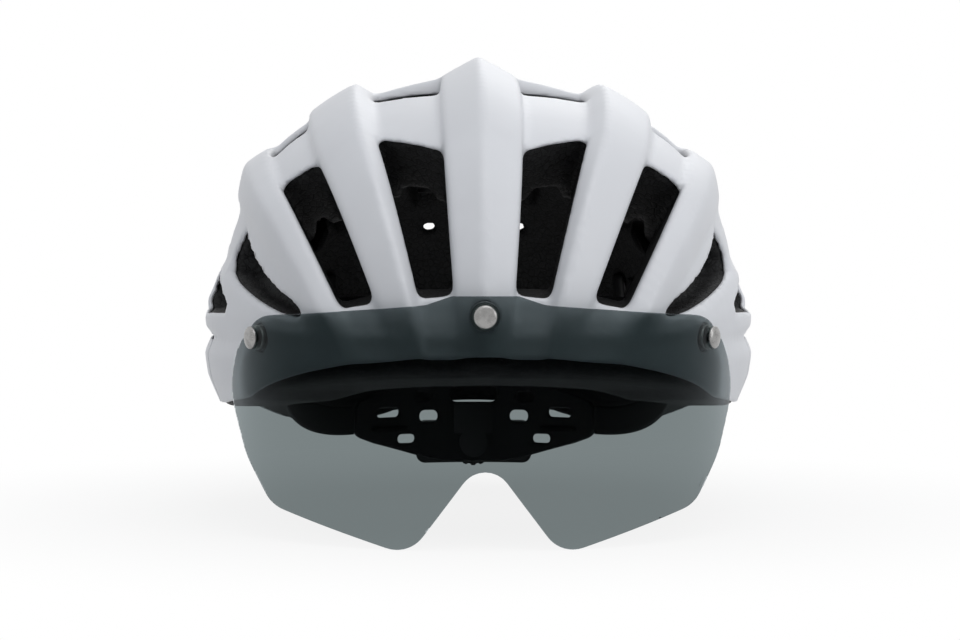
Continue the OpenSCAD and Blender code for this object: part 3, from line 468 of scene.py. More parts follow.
@dataclass(frozen=True)
class HelmetForm:
    """The helmet's outer form and head space as fields that are negative inside."""

    dome: Superform = Superform(half_w=101.0, front=142.0, back=130.0, height=92.0, skirt=110.0,
                                middle_y=12.0, power=2.6)
    space: HeadSpace = HEAD_SPACE
    fan_drop: float = 112.0
    under_rib: float = 0.35
    mid_edge: tuple[float, ...] = (4.9, 3.95, 4.3)
    inner_in: tuple[float, ...] = (10.6, 12.1, 11.5, 10.4)
    inner_out: tuple[float, ...] = (17.1, 19.2, 19.1, 16.6)
    outer_in: tuple[float, ...] = (23.0, 24.6, 24.4, 22.2)
    outer_out: tuple[float, ...] = (28.4, 30.0, 31.2, 28.0)
    bridge_h: Triple = (4.5, 1.3, 0.5)
    bridge_at: Triple = (4.5, 11.0, 18.0)
    bridge_from: float = 84.3
    bridge_to: float = 100.7
    bridge_reach: float = 30.0
    belt: Belt = Belt()
    vent_round: float = 1.3
    rib_round: float = 2.6
    bridge_round: Pair = (3.4, 3.0)
    belt_round: Pair = (1.8, 3.2)
    seam_gap: float = 1.6
    seam_front_y: float = -34.0
    foam_below: Pair = (5.0, 1.2)
    foam_below_at: Pair = (-126.0, -92.0)
    skin_t: float = 1.4
    wrap: float = 1.5
    tuck: float = 3.6
    hollow_h: float = 3.2
    ledge_w: float = 3.4
    channel_deep: float = 6.0
    channel_reach: Pair = (22.0, 150.0)
    rim: tuple[Pair, ...] = (
        (-160, -6), (-134, -7.7), (-118, -12.5), (-95, -20), (-80, -25.5), (-45, -30), (0, -32),
        (40, -33.5), (62, -36), (82, -41.5), (98, -46.5), (110, -41), (121, -34), (160, -31.5))
    side_vents: tuple[tuple[Pair, ...], ...] = (
        ((-62, 37), (-50, 26), (-50, 21), (-80, 12), (-99, 6.5), (-107, 5), (-112, 7)),
        ((-62, 8.5), (-46, 15), (-28, 20), (4, 20), (16, 12), (12, 5), (-20, 4), (-44, 5), (-60, 5.5)),
        ((32, 22), (38, 25), (84, 20), (92, 11), (84, 6), (40, 6), (32, 10)),
        ((-30, 47), (30, 50), (60, 44), (64, 36), (20, 31), (-28, 32), (-36, 40)))
    side_vent_x: float = 62.0

    def ribs(self) -> list[Rib]:
        """The middle rib and the two ribs of one side."""
        low = tuple(-a for a in self.mid_edge)
        return [Rib(low, self.mid_edge, 0.5, (8.0, 13.6, 8.0), (4.5, 6.8, 5.0)),
                Rib(self.inner_in, self.inner_out, 0.22, (5.5, 7.5, 6.5), (3.0, 4.0, 3.6)),
                Rib(self.outer_in, self.outer_out, 0.55, (4.5, 6.2, 5.0), (2.5, 3.2, 3.0))]

    def vents(self) -> list[Vent]:
        """The two rows of openings of one side, from brow to tail."""
        rows = [(self.mid_edge, self.inner_in,
                 (((6.0, 5.4), (30.0, 36.2), 0.66, 0.9, 48), ((58, 58), (84, 84), 0.8, 0.9, 48),
                  ((101, 101), (136, 136), 0.8, 0.9, 48), ((144, 144), (170, 170), 0.07, 0.22, 31))),
                (self.inner_out, self.outer_in,
                 (((5.3, 4.3), (34.4, 33.4), 0.66, 0.9, 48), ((56, 54), (83, 83), 0.8, 0.9, 48),
                  ((101, 101), (134, 134), 0.8, 0.9, 48), ((142, 142), (168, 168), 0.7, 0.8, 13)))]
        found = []
        for side_in, side_out, row in rows:
            left = tuple(a - self.under_rib for a in side_in)
            right = tuple(a + self.under_rib for a in side_out)
            found += [Vent(left, right, *ends) for ends in row]
        return found

    def side_opening(self, p: Points) -> Values:
        """Field of the side openings: outlines in Y and Z carried along X, with a ledge inside.

        Args:
            p: Points, one per row.

        Returns:
            Negative inside the openings.
        """
        out = np.full(len(p), FAR)
        near = np.abs(p[:, 0]) > self.side_vent_x - 8.0
        q = p[near]
        best = np.full(len(q), FAR)
        for outline in self.side_vents:
            best = np.minimum(best, polygon_distance(q[:, 1], q[:, 2], outline))
        ledge = self.ledge_w * ease((-self.dome.rise(q, 3) - 9.0) / 5.0)
        out[near] = soft_max(best + ledge, self.side_vent_x - np.abs(q[:, 0]), 3.0)
        return out

    def outside(self, p: Points) -> tuple[Values, Values]:
        """Field of the whole outer form.

        Args:
            p: Points, one per row.

        Returns:
            The field, negative inside: dome less vents and less a hollow between the ribs behind the
            crossbar, joined softly with ribs, crossbar and belt; and the height over dome and belt.
        """
        rise = self.dome.rise(p)
        fan = Fan.of(p, self.fan_drop, self.dome.middle_y)
        opening = np.full(len(p), FAR)
        for vent in self.vents():
            opening = np.minimum(opening, vent.distance(fan, rise))
        sides = self.side_opening(p)
        behind = ease((fan.t - self.bridge_to - 1.0) / 12.0) * ease((158.0 - fan.t) / 14.0)
        between_ribs = ease((fan.al - self.mid_edge[1]) / 4.0) * ease((36.0 - fan.al) / 6.0)
        form = soft_max(rise + self.hollow_h * behind * between_ribs, -np.minimum(opening, sides),
                        self.vent_round)
        for rib in self.ribs():
            form = soft_min(form, rib.distance(fan, rise), self.rib_round)
        walls = np.maximum(self.bridge_from - fan.t, fan.t - self.bridge_to) * fan.arc
        height = np.interp(fan.al, self.bridge_at, self.bridge_h)
        wall_round, end_round = self.bridge_round
        bridge = soft_max(soft_max(rise - height, walls, wall_round),
                          (fan.al - self.bridge_reach) * fan.across, end_round)
        form = soft_min(form, bridge, end_round)
        belt = self.belt.distance(p, self.dome)
        cut_round, foot_round = self.belt_round
        return (soft_min(form, soft_max(belt, -sides, cut_round), foot_round),
                np.minimum(rise, belt))

    def over_rim(self, p: Points) -> Values:
        """Height over the skin's lower rim."""
        ys, zs = zip(*self.rim)
        return p[:, 2] - np.interp(p[:, 1], ys, zs)

    def foam(self, p: Points) -> Values:
        """Field of the foam: under the skin where there is skin, flush with it elsewhere.

        Args:
            p: Points, one per row.

        Returns:
            The outer form set back by 1.6 mm under the skin and by 0.4 mm elsewhere, tucked in
            below the skin's rim, less the head space with its air channels, cut at its own rim.
        """
        form, height = self.outside(p)
        below = -self.over_rim(p)
        bare = np.maximum(ease((-height - self.wrap - 0.2) / 0.8), ease(below / 0.8))
        form = form + lerp(self.skin_t + 0.2, 0.4, bare) + self.tuck * ease(below / 6.0)
        fan = Fan.of(p, self.fan_drop, self.dome.middle_y)
        channel = np.zeros(len(p))
        for a0, a1 in ((self.mid_edge, self.inner_in), (self.inner_out, self.outer_in)):
            wide = np.minimum(fan.al - along(a0, fan.t) - 1.0, along(a1, fan.t) - 1.0 - fan.al)
            long = np.minimum(fan.t - self.channel_reach[0], self.channel_reach[1] - fan.t)
            channel = np.maximum(channel, ease(wide * fan.across / 4.0) * ease(long * fan.arc / 12.0))
        space = self.space.rise(p) - self.channel_deep * channel
        form = soft_max(form, -space, 3.0)
        return soft_max(form, below - np.interp(p[:, 1], self.foam_below_at, self.foam_below), 4.0)


def between(value: np.ndarray, old: Values, new: Values, axis: int) -> np.ndarray:
    """A field on one axis's old places, read off straight between them at new places.

    Args:
        value: The field.
        old: Its places on the axis.
        new: The places wanted.
        axis: The axis.

    Returns:
        The field at the new places.
    """
    i = np.clip(np.searchsorted(old, new) - 1, 0, len(old) - 2)
    shape = [1, 1, 1]
    shape[axis] = -1
    w = ((new - old[i]) / (old[i + 1] - old[i])).reshape(shape)
    return lerp(np.take(value, i, axis), np.take(value, i + 1, axis), w)


def grid_net(measure: Field, low: Sequence[float], high: Sequence[float], step: float,
             skip: Field | None) -> Surface:
    """Surface of a field that is the same on both sides of x = 0.

    The field is sampled on a grid over one half and mirrored. Each cell that the surface crosses
    gets one point, the mean of the crossings on its sides, and each crossed side gets one quad.
    The points are then moved onto the surface along the field's slope.

    Args:
        measure: The field, from points to values, negative inside.
        low: Lowest corner, with x = 0.
        high: Highest corner.
        step: Size of a cell.
        skip: A value that is positive where the surface isn't wanted, or None. A coarse grid gives
            the field there and far from the surface, and only the rest is sampled finely.

    Returns:
        Points, and quads that face outwards.
    """
    axes = [np.arange(lo, hi + step, step) for lo, hi in zip(low, high)]
    wide = 4.0
    rough = [np.arange(lo, hi + step + wide, wide) for lo, hi in zip(low, high)]
    net = np.stack(np.meshgrid(*rough, indexing="ij"), axis=-1).reshape(-1, 3)
    half = measure(net)
    near = np.abs(half) if skip is None else np.where(skip(net) > 0.0, 99.0, np.abs(half))
    half, near = (m.reshape([len(a) for a in rough]) for m in (half, near))
    for axis in range(3):
        half = between(half, rough[axis], axes[axis], axis)
        near = between(near, rough[axis], axes[axis], axis)
    for i, x in enumerate(axes[0]):
        j, k = np.nonzero(near[i] < 1.6 * wide)
        if len(j):
            half[i, j, k] = measure(np.column_stack([np.full(len(j), x), axes[1][j], axes[2][k]]))
    value = np.concatenate([half[:0:-1], half])
    start = np.array([-axes[0][-1], axes[1][0], axes[2][0]])
    inside = value < 0.0
    corners = np.array([(i, j, k) for i in (0, 1) for j in (0, 1) for k in (0, 1)])
    shape = np.array(value.shape) - 1
    total = np.zeros(shape, np.int8)
    for i, j, k in corners:
        total += inside[i:i + shape[0], j:j + shape[1], k:k + shape[2]]
    cells = np.argwhere((total > 0) & (total < 8))
    held = value[tuple((cells[:, None, :] + corners).transpose(2, 0, 1))]
    summed, hits = np.zeros((len(cells), 3)), np.zeros(len(cells))
    for a in range(8):
        for axis in range(3):
            b = a + (4, 2, 1)[axis]
            if corners[a][axis]:
                continue
            va, vb = held[:, a], held[:, b]
            cut = (va < 0.0) != (vb < 0.0)
            w = np.where(cut, va / np.where(cut, va - vb, 1.0), 0.0)
            at = corners[a] + w[:, None] * (corners[b] - corners[a])
            summed += at * cut[:, None]
            hits += cut
    points = start + (cells + summed / hits[:, None]) * step
    number = np.full(shape, -1)
    number[tuple(cells.T)] = np.arange(len(cells))
    quads = []
    for axis in range(3):
        u, v = (axis + 1) % 3, (axis + 2) % 3
        first = np.take(inside, np.arange(shape[axis]), axis)
        second = np.take(inside, np.arange(shape[axis]) + 1, axis)
        for outward in (True, False):
            edges = np.argwhere(first & ~second if outward else ~first & second)
            across = edges[:, [u, v]]
            edges = edges[((across > 0) & (across < shape[[u, v]])).all(axis=1)]
            ring = []
            for du, dv in ((-1, -1), (0, -1), (0, 0), (-1, 0)):
                cell = edges.copy()
                cell[:, [u, v]] += (du, dv)
                ring.append(number[tuple(cell.T)])
            quads.append(np.column_stack(ring if outward else ring[::-1]))
    for _ in range(2):
        points = onto_surface(measure, points, 0.5 * step)
    return points, np.vstack(quads)


def onto_surface(measure: Field, points: Points, most: float) -> Points:
    """Points moved by one Newton step, p - f grad f / |grad f|^2, of a limited length.

    Args:
        measure: The field f.
        points: Points close to its surface.
        most: Longest step.

    Returns:
        The points. The slope comes from differences over a short probe along each axis.
    """
    here, probe = measure(points), 0.08
    slope = np.empty_like(points)
    for axis in range(3):
        moved = points.copy()
        moved[:, axis] += probe
        slope[:, axis] = (measure(moved) - here) / probe
    size = np.maximum(np.linalg.norm(slope, axis=1), 0.3)
    length = np.clip(here / size, -most, most)
    return points - slope * (length / size)[:, None]


def snapped(points: Points, tris: Faces, keep: Values) -> tuple[Points, Values]:
    """A surface's points, those close to the line where a value is 0 moved onto it.

    Args:
        points: Points of the surface.
        tris: Its triangles.
        keep: The value at each point.

    Returns:
        The points, and the value with 0 at those that moved. On each side that the line crosses,
        the crossing is at the share v1 / (v1 - v2), and a point takes the nearest of its crossings
        that lie within the share near of a side.
    """
    near = 0.3
    a, b = tris.ravel(), np.roll(tris, -1, axis=1).ravel()
    a, b = np.concatenate([a, b]), np.concatenate([b, a])
    cut = (keep[a] > 0.0) != (keep[b] > 0.0)
    a, b = a[cut], b[cut]
    w = keep[a] / (keep[a] - keep[b])
    a, b, w = a[w < near], b[w < near], w[w < near]
    move = w[:, None] * (points[b] - points[a])
    order = np.argsort(-np.linalg.norm(move, axis=1))
    points, keep = points.copy(), keep.copy()
    points[a[order]] = (points[a] + move)[order]
    keep[a] = 0.0
    return points, keep


def trimmed(points: Points, quads: Faces, keep: Values) -> Surface:
    """The part of a surface where a value is positive, cut cleanly where the value is 0.

    Args:
        points: Points of the surface.
        quads: Its quads or triangles.
        keep: The value at each point.

    Returns:
        Points and triangles. A triangle that the line crosses is split there, with the new point
        at the share v1 / (v1 - v2) of the side, or at the side's own end where the value is 0.
    """
    tris = quads if quads.shape[1] == 3 else np.vstack([quads[:, [0, 1, 2]], quads[:, [0, 2, 3]]])
    points, keep = snapped(points, tris, keep)
    on = keep > 0.0
    count = on[tris].sum(axis=1)
    made, extra = [tris[count == 3]], []
    offset = len(points)
    for kept_corners in (1, 2):
        part = tris[count == kept_corners]
        lone = on[part] if kept_corners == 1 else ~on[part]
        first = lone.argmax(axis=1)
        rows = np.arange(len(part))
        a, b, c = (part[rows, (first + i) % 3] for i in range(3))
        new = []
        for other in (b, c):
            w = keep[a] / (keep[a] - keep[other])
            extra.append((np.minimum(a, other), np.maximum(a, other),
                          points[a] + w[:, None] * (points[other] - points[a])))
            number = np.arange(len(part)) + offset
            new.append(np.where(keep[a] == 0.0, a, np.where(keep[other] == 0.0, other, number)))
            offset += len(part)
        if kept_corners == 1:
            made.append(np.column_stack([a, new[0], new[1]]))
        else:
            made.append(np.column_stack([new[0], b, c]))
            made.append(np.column_stack([new[0], c, new[1]]))
    keys = np.concatenate([e[0] * len(points) + e[1] for e in extra])
    places = np.vstack([e[2] for e in extra])
    _, index, inverse = np.unique(keys, return_index=True, return_inverse=True)
    faces = np.vstack(made)
    high = faces >= len(points)
    faces[high] = inverse[faces[high] - len(points)] + len(points)
    flat = (faces[:, 0] == faces[:, 1]) | (faces[:, 1] == faces[:, 2]) | (faces[:, 2] == faces[:, 0])
    return compact(np.vstack([points, places[index]]), faces[~flat])


def compact(points: Points, faces: Faces) -> Surface:
    """The points that faces use, and the faces renumbered to them."""
    used, inverse = np.unique(faces, return_inverse=True)
    return points[used], inverse.reshape(faces.shape)


def largest_pieces(points: Points, tris: Faces, least: int) -> Surface:
    """A surface without its loose islands of fewer than a number of points.

    Args:
        points: Points of the surface.
        tris: Its faces.
        least: Fewest points that an island may have.

    Returns:
        The rest. Each point takes the lowest number among its neighbours until nothing changes.
    """
    label = np.arange(len(points))
    while True:
        low = label[tris].min(axis=1)
        new = label.copy()
        for corner in range(tris.shape[1]):
            np.minimum.at(new, tris[:, corner], low)
        new = new[new]
        if np.array_equal(new, label):
            break
        label = new
    size = np.bincount(label, minlength=len(points))
    return compact(points, tris[size[label[tris[:, 0]]] >= least])


def areas(points: Points, tris: Faces) -> Points:
    """Twice the area vector of each triangle."""
    return np.cross(points[tris[:, 1]] - points[tris[:, 0]], points[tris[:, 2]] - points[tris[:, 0]])


def point_normals(points: Points, tris: Faces) -> Points:
    """Unit normals at points, the sum of the neighbouring faces' area vectors.

    Args:
        points: Points of the surface.
        tris: Its triangles.

    Returns:
        One normal per point.
    """
    area = areas(points, tris)
    total = np.zeros_like(points)
    for corner in range(3):
        np.add.at(total, tris[:, corner], area)
    return total / np.maximum(np.linalg.norm(total, axis=1), 1e-12)[:, None]


def smoothed(points: Points, faces: Faces, rounds: int, fixed: np.ndarray | None = None) -> Points:
    """Points moved half way to the mean of their neighbours.

    Args:
        points: Points of the surface.
        faces: Its faces, or a line's sides, whose ends then are the neighbours.
        rounds: How often they move.
        fixed: Which points stay.

    Returns:
        The points, each p turned into (p + mean) / 2, but for those that stay or have no neighbour.
    """
    a, b = faces.ravel(), np.roll(faces, -1, axis=1).ravel()
    degree = np.bincount(a, minlength=len(points)) + np.bincount(b, minlength=len(points))
    still = degree == 0 if fixed is None else fixed | (degree == 0)
    for _ in range(rounds):
        total = np.zeros_like(points)
        np.add.at(total, a, points[b])
        np.add.at(total, b, points[a])
        mean = total / np.maximum(degree, 1)[:, None]
        points = np.where(still[:, None], points, lerp(points, mean, 0.5))
    return points


def evened(points: Points, sides: Faces, rounds: int) -> Points:
    """A line without its short waves, its length and corners kept.

    Args:
        points: Points of the line and others.
        sides: The line's sides.
        rounds: How often its points go to the mean of their neighbours and most of the way back.

    Returns:
        The points. One round takes p to q = (p + mean) / 2, and then q to q - 1.06 (q' - q), where
        q' is smoothed q.
    """
    for _ in range(rounds):
        points = smoothed(points, sides, 1)
        points = lerp(points, smoothed(points, sides, 1), -1.06)
    return points


def border_edges(tris: Faces) -> Faces:
    """The directed sides that only one face has.

    Args:
        tris: Triangles.

    Returns:
        The sides as pairs of points.
    """
    sides = np.vstack([tris[:, [0, 1]], tris[:, [1, 2]], tris[:, [2, 0]]])
    key = np.sort(sides, axis=1)
    _, index, count = np.unique(key, axis=0, return_index=True, return_counts=True)
    return sides[index[count == 1]]


def thickened(points: Points, tris: Faces, depth: float, edge: float) -> Surface:
    """A closed wall of even thickness with a rounded rim.

    Args:
        points: Points of the outer surface.
        tris: Its triangles.
        depth: Thickness.
        edge: How far both faces' rims are drawn in from the middle of the wall.

    Returns:
        The surface, its copy set back along the normals, and two strips over a line of points at
        the middle of the wall. The rims lie inside that line by edge, square to the border.
    """
    normals = point_normals(points, tris)
    rim = border_edges(tris)
    n = len(points)
    a, b = rim[:, 0], rim[:, 1]
    out = np.zeros_like(points)
    side = np.cross(points[b] - points[a], normals[a] + normals[b])
    np.add.at(out, a, side)
    np.add.at(out, b, side)
    on_rim = np.unique(rim)
    out = out[on_rim] / np.maximum(np.linalg.norm(out[on_rim], axis=1), 1e-12)[:, None]
    number = np.zeros(n, int)
    number[on_rim] = np.arange(len(on_rim)) + 2 * n
    middle = points[on_rim] - normals[on_rim] * depth / 2.0
    outer, inner = points.copy(), points - normals * depth
    outer[on_rim] -= out * edge
    inner[on_rim] -= out * edge
    am, bm = number[a], number[b]
    sides = [np.column_stack(c) for c in ((a, am, bm), (a, bm, b), (am, a + n, b + n), (am, b + n, bm))]
    return np.vstack([outer, inner, middle]), np.vstack([tris, tris[:, ::-1] + n, *sides])


def sheet_grid(rows: int, columns: int, ring: bool = False) -> Faces:
    """Quads of a grid of points, row after row, each row closed to a ring where asked.

    Args:
        rows: Number of rows.
        columns: Points in a row.
        ring: Whether each row is closed.

    Returns:
        The quads.
    """
    i, j = (m.ravel() for m in np.meshgrid(np.arange(rows - 1), np.arange(columns - 1 + ring),
                                           indexing="ij"))
    here, there = i * columns + j, i * columns + (j + 1) % columns
    return np.column_stack([here, there, there + columns, here + columns])


def in_scene(name: str, data: bpy.types.ID) -> Piece:
    """A new object with the given data, linked to the scene."""
    made = bpy.data.objects.new(name, data)
    bpy.context.scene.collection.objects.link(made)
    return made


def make_object(name: str, points: Points, faces: Faces, sharp: float | None = None) -> Piece:
    """A mesh object at the origin from points in millimetres.

    Args:
        name: The piece's name.
        points: Points, one per row.
        faces: Triangles or quads, one per row.
        sharp: Angle past which an edge is shaded sharp, or None for none.

    Returns:
        The object, linked to the scene and shaded smooth.
    """
    mesh = bpy.data.meshes.new(name)
    size = faces.shape[1]
    mesh.vertices.add(len(points))
    mesh.vertices.foreach_set("co", (points * MM).astype(np.float32).ravel())
    mesh.loops.add(faces.size)
    mesh.loops.foreach_set("vertex_index", faces.astype(np.int32).ravel())
    mesh.polygons.add(len(faces))
    mesh.polygons.foreach_set("loop_start", np.arange(0, faces.size, size, dtype=np.int32))
    mesh.polygons.foreach_set("loop_total", np.full(len(faces), size, np.int32))
    mesh.update(calc_edges=True)
    mesh.validate()
    mesh.polygons.foreach_set("use_smooth", np.ones(len(mesh.polygons), bool))
    if sharp is not None:
        mesh.set_sharp_from_angle(angle=math.radians(sharp))
    return in_scene(name, mesh)


def closed_tube(rings: Points, first: Points, last: Points) -> Surface:
    """A closed surface over rings of points, with a fan to one point at each end.

    Args:
        rings: Array of rings by points by 3.
        first: Point that closes the first ring.
        last: Point that closes the last ring.

    Returns:
        Points, and triangles that face outwards; ring i, point j is at i * m + j.
    """
    n, m = rings.shape[:2]
    quads = sheet_grid(n, m, True)
    j = np.arange(m)
    k = (j + 1) % m
    start = np.column_stack([np.full(m, n * m), k, j])
    end = np.column_stack([np.full(m, n * m + 1), (n - 1) * m + j, (n - 1) * m + k])
    tris = np.vstack([quads[:, [0, 1, 2]], quads[:, [0, 2, 3]], start, end])
    points = np.vstack([rings.reshape(-1, 3), first, last])
    a, b, c = (points[tris[:, i]] for i in range(3))
    volume = np.einsum("ij,ij->i", a, np.cross(b, c)).sum()
    return points, tris if volume > 0.0 else tris[:, ::-1]


def set_uv(made: Piece, uv: np.ndarray) -> None:
    """Gives a mesh a UV map from one place per point, in millimetres along and across the cloth.

    Args:
        made: The piece.
        uv: Place of each point.
    """
    mesh = made.data
    corner = np.empty(len(mesh.loops), np.int32)
    mesh.loops.foreach_get("vertex_index", corner)
    layer = mesh.uv_layers.new(name="cloth_mm")
    layer.data.foreach_set("uv", uv[corner].astype(np.float32).ravel())


class Wire:
    """A shader socket that takes part in ordinary arithmetic."""

    def __init__(self, graph: "Graph", socket: bpy.types.NodeSocket) -> None:
        """Keeps the graph and the socket."""
        self.graph = graph
        self.socket = socket

    def maths(self, operation: str, *others: "Wire | float") -> "Wire":
        """This value and others through one Math node."""
        return self.graph.add("ShaderNodeMath", {"operation": operation},
                              dict(enumerate((self, *others))))

    def __add__(self, other: "Wire | float") -> "Wire":
        """This plus other."""
        return self.maths("ADD", other)

    __radd__ = __add__

    def __mul__(self, other: "Wire | float") -> "Wire":
        """This times other."""
        return self.maths("MULTIPLY", other)

    __rmul__ = __mul__

    def __sub__(self, other: "Wire | float") -> "Wire":
        """This less other."""
        return self.maths("SUBTRACT", other)

    def __rsub__(self, other: float) -> "Wire":
        """Other less this."""
        return self.graph.add("ShaderNodeMath", {"operation": "SUBTRACT"}, {0: other, 1: self})

    def __pow__(self, other: float) -> "Wire":
        """This raised to a power."""
        return self.maths("POWER", other)

    def wave(self, pitch: float) -> "Wire":
        """A wave from 0 to 1 whose length is pitch."""
        return self.maths("MULTIPLY", 2.0 * math.pi / pitch).maths("SINE") * 0.5 + 0.5

    def step_up(self, low: float, high: float) -> "Wire":
        """0 below low, 1 above high, smooth between."""
        return self.graph.add("ShaderNodeMapRange", {"interpolation_type": "SMOOTHSTEP"},
                              {0: self, 1: low, 2: high, 3: 0.0, 4: 1.0})


class Graph:
    """The node tree of one material or of the world."""

    def __init__(self, owner: bpy.types.Material | bpy.types.World) -> None:
        """Empties the owner's tree.

        Args:
            owner: The material or the world.
        """
        self.owner = owner
        owner.use_nodes = True
        self.tree = owner.node_tree
        self.tree.nodes.clear()

    def add(self, kind: str, settings: dict | None = None, inputs: dict | None = None,
            out: int | str = 0) -> Wire:
        """Adds a node.

        Args:
            kind: The node's type.
            settings: What is set first, such as a Math node's operation.
            inputs: Values or wires by the socket's number or name.
            out: The output that is wanted.

        Returns:
            That output.
        """
        node = self.tree.nodes.new(kind)
        for key, value in (settings or {}).items():
            setattr(node, key, value)
        for key, value in (inputs or {}).items():
            if isinstance(value, Wire):
                self.tree.links.new(value.socket, node.inputs[key])
            else:
                node.inputs[key].default_value = value
        return Wire(self, node.outputs[out])

    def object_place(self) -> Wire:
        """Object coordinates, in metres."""
        return self.add("ShaderNodeTexCoord", out="Object")

    def cloth_place(self) -> tuple[Wire, Wire, Wire]:
        """The piece's own map in millimetres, and its parts along and across the cloth."""
        place = self.add("ShaderNodeUVMap", {"uv_map": "cloth_mm"})
        first = self.add("ShaderNodeSeparateXYZ", {}, {0: place})
        return place, first, Wire(self, first.socket.node.outputs[1])

    def noise(self, place: Wire, size: float, detail: float = 2.0) -> Wire:
        """Noise from 0 to 1 with features of a size in the unit of the place."""
        return self.add("ShaderNodeTexNoise", {}, {"Vector": place, "Scale": 1.0 / size,
                                                   "Detail": detail})

    def stretched(self, place: Wire, scale: Triple) -> Wire:
        """A place with each axis scaled."""
        return self.add("ShaderNodeMapping", {}, {"Vector": place, "Scale": scale})

    def mix(self, share: Wire, first: Sequence[float], second: Sequence[float]) -> Wire:
        """A colour a share of the way from first to second."""
        return self.add("ShaderNodeMix", {"data_type": "RGBA"}, {
            0: share, 6: (*first, 1.0), 7: (*second, 1.0)}, out=2)

    def bump(self, height: Wire, depth_mm: float, strength: float) -> Wire:
        """A normal from a height between 0 and 1 that stands for a depth in millimetres."""
        return self.add("ShaderNodeBump", {}, {"Height": height, "Distance": depth_mm * MM,
                                               "Strength": strength})

    def show(self, shader: Wire) -> bpy.types.Material | bpy.types.World:
        """Ends the tree with a shader.

        Args:
            shader: The whole shader.

        Returns:
            The material or the world.
        """
        kind = "World" if isinstance(self.owner, bpy.types.World) else "Material"
        output = self.tree.nodes.new("ShaderNodeOutput" + kind)
        self.tree.links.new(shader.socket, output.inputs["Surface"])
        return self.owner


@dataclass(frozen=True)
class Finish:
    """A finish, from which a material of its name is made once.

    The colour is linear, roughness is its middle, and fixed lists the Principled sockets that hold
    one value all over.
    """

    name: str
    colour: Triple
    roughness: float = 0.5
    fixed: tuple[tuple[str, float], ...] = ()

    def tones(self, g: Graph, share: Wire, dark: float, light: float) -> Wire:
        """The colour times dark where share is 0, and times light where it is 1."""
        return g.mix(share, *(tuple(by * c for c in self.colour) for by in (dark, light)))

    def varied(self, g: Graph) -> dict[str, Wire]:
        """What changes over the surface.

        Args:
            g: The material's nodes.

        Returns:
            Wires by Principled socket.
        """
        grain = g.noise(g.object_place(), 0.5 * MM)
        broad = g.noise(g.object_place(), 14.0 * MM)
        return {"Base Color": self.tones(g, broad, 0.86, 1.14),
                "Roughness": broad * 0.12 + grain * 0.06 + (self.roughness - 0.09),
                "Normal": g.bump(grain, 0.02, 0.6)}

    def shader(self, g: Graph) -> Wire:
        """The whole shader: one Principled node with the fixed and the varied sockets."""
        return g.add("ShaderNodeBsdfPrincipled", {}, {**dict(self.fixed), **self.varied(g)})

    def material(self) -> bpy.types.Material:
        """The finish's material, made at its first use."""
        found = bpy.data.materials.get(self.name)
        if found:
            return found
        g = Graph(bpy.data.materials.new(self.name))
        return g.show(self.shader(g))


@dataclass(frozen=True)
class ShellFinish(Finish):
    """Matt moulded skin: a very fine grain, and a slight change of sheen from place to place."""

    def varied(self, g: Graph) -> dict[str, Wire]:
        """Fine grain in the normal, broad drift in colour and roughness.

        Args:
            g: The material's nodes.

        Returns:
            Wires by Principled socket.
        """
        place = g.object_place()
        grain, broad = g.noise(place, 0.32 * MM, 3.0), g.noise(place, 38.0 * MM, 3.0)
        return {"Base Color": self.tones(g, broad.step_up(0.35, 0.7), 0.955, 1.0),
                "Roughness": broad * 0.10 + grain * 0.05 + (self.roughness - 0.075),
                "Normal": g.bump(grain, 0.012, 0.5)}


@dataclass(frozen=True)
class BeadFinish(Finish):
    """Expanded foam: beads a few millimetres wide, each its own shade, with grooves and pits, and
    painted shade in the grooves.
    """

    bead: float = 2.4

    def varied(self, g: Graph) -> dict[str, Wire]:
        """Beads from Voronoi cells, grooves where the cells meet with painted shade, pits from fine
        noise.

        Args:
            g: The material's nodes.

        Returns:
            Wires by Principled socket.
        """
        place = g.object_place()
        wobble = g.noise(place, 5.0 * MM, 1.0)
        size = {"Vector": place, "Scale": 1.0 / (self.bead * MM), "Randomness": 0.9}
        edge = g.add("ShaderNodeTexVoronoi", {"feature": "DISTANCE_TO_EDGE"}, size, out="Distance")
        shade = g.add("ShaderNodeTexVoronoi", {"feature": "F1"}, size, out="Color")
        tone = g.add("ShaderNodeSeparateColor", {}, {0: shade})
        swell = edge.step_up(0.0, 0.16)
        pits = g.noise(place, 0.35 * MM, 2.0).step_up(0.30, 0.62)
        # swell lightens the colour on the beads' middles and darkens it in the grooves between them:
        # painted shade
        light = tone * 0.55 + swell * 0.30 + pits * 0.25 + wobble * 0.2 - 0.15
        return {"Base Color": self.tones(g, light.step_up(0.0, 1.0), 0.35, 1.9),
                "Roughness": pits * -0.12 + tone * 0.14 + self.roughness,
                "Normal": g.bump(swell * 0.75 + pits * 0.25, 0.22, 0.8)}


@dataclass(frozen=True)
class LensFinish(Finish):
    """Clear smoke sheet: it lets a share of the light straight through and mirrors a little."""

    clear: Triple = (0.438, 0.473, 0.477)
    mirror: float = 0.0008
    edge_mirror: float = 0.8

    def shader(self, g: Graph) -> Wire:
        """Transparent mixed with gloss by mirror + edge_mirror (1 - mirror) facing^5.

        Args:
            g: The material's nodes.

        Returns:
            The whole shader.
        """
        facing = g.add("ShaderNodeLayerWeight", {}, {"Blend": 0.5}, out="Facing")
        share = facing ** 5.0 * (1.0 - self.mirror) * self.edge_mirror + self.mirror
        streak = g.noise(g.stretched(g.object_place(), (1.0, 1.0, 5.0)), 30.0 * MM, 1.0)
        through = g.add("ShaderNodeBsdfTransparent", {}, {"Color": (*self.clear, 1.0)})
        gloss = g.add("ShaderNodeBsdfPrincipled", {}, {
            "Base Color": (*self.colour, 1.0), "Metallic": 1.0,
            "Roughness": streak * 0.02 + self.roughness})
        return g.add("ShaderNodeMixShader", {}, {0: share, 1: through, 2: gloss})


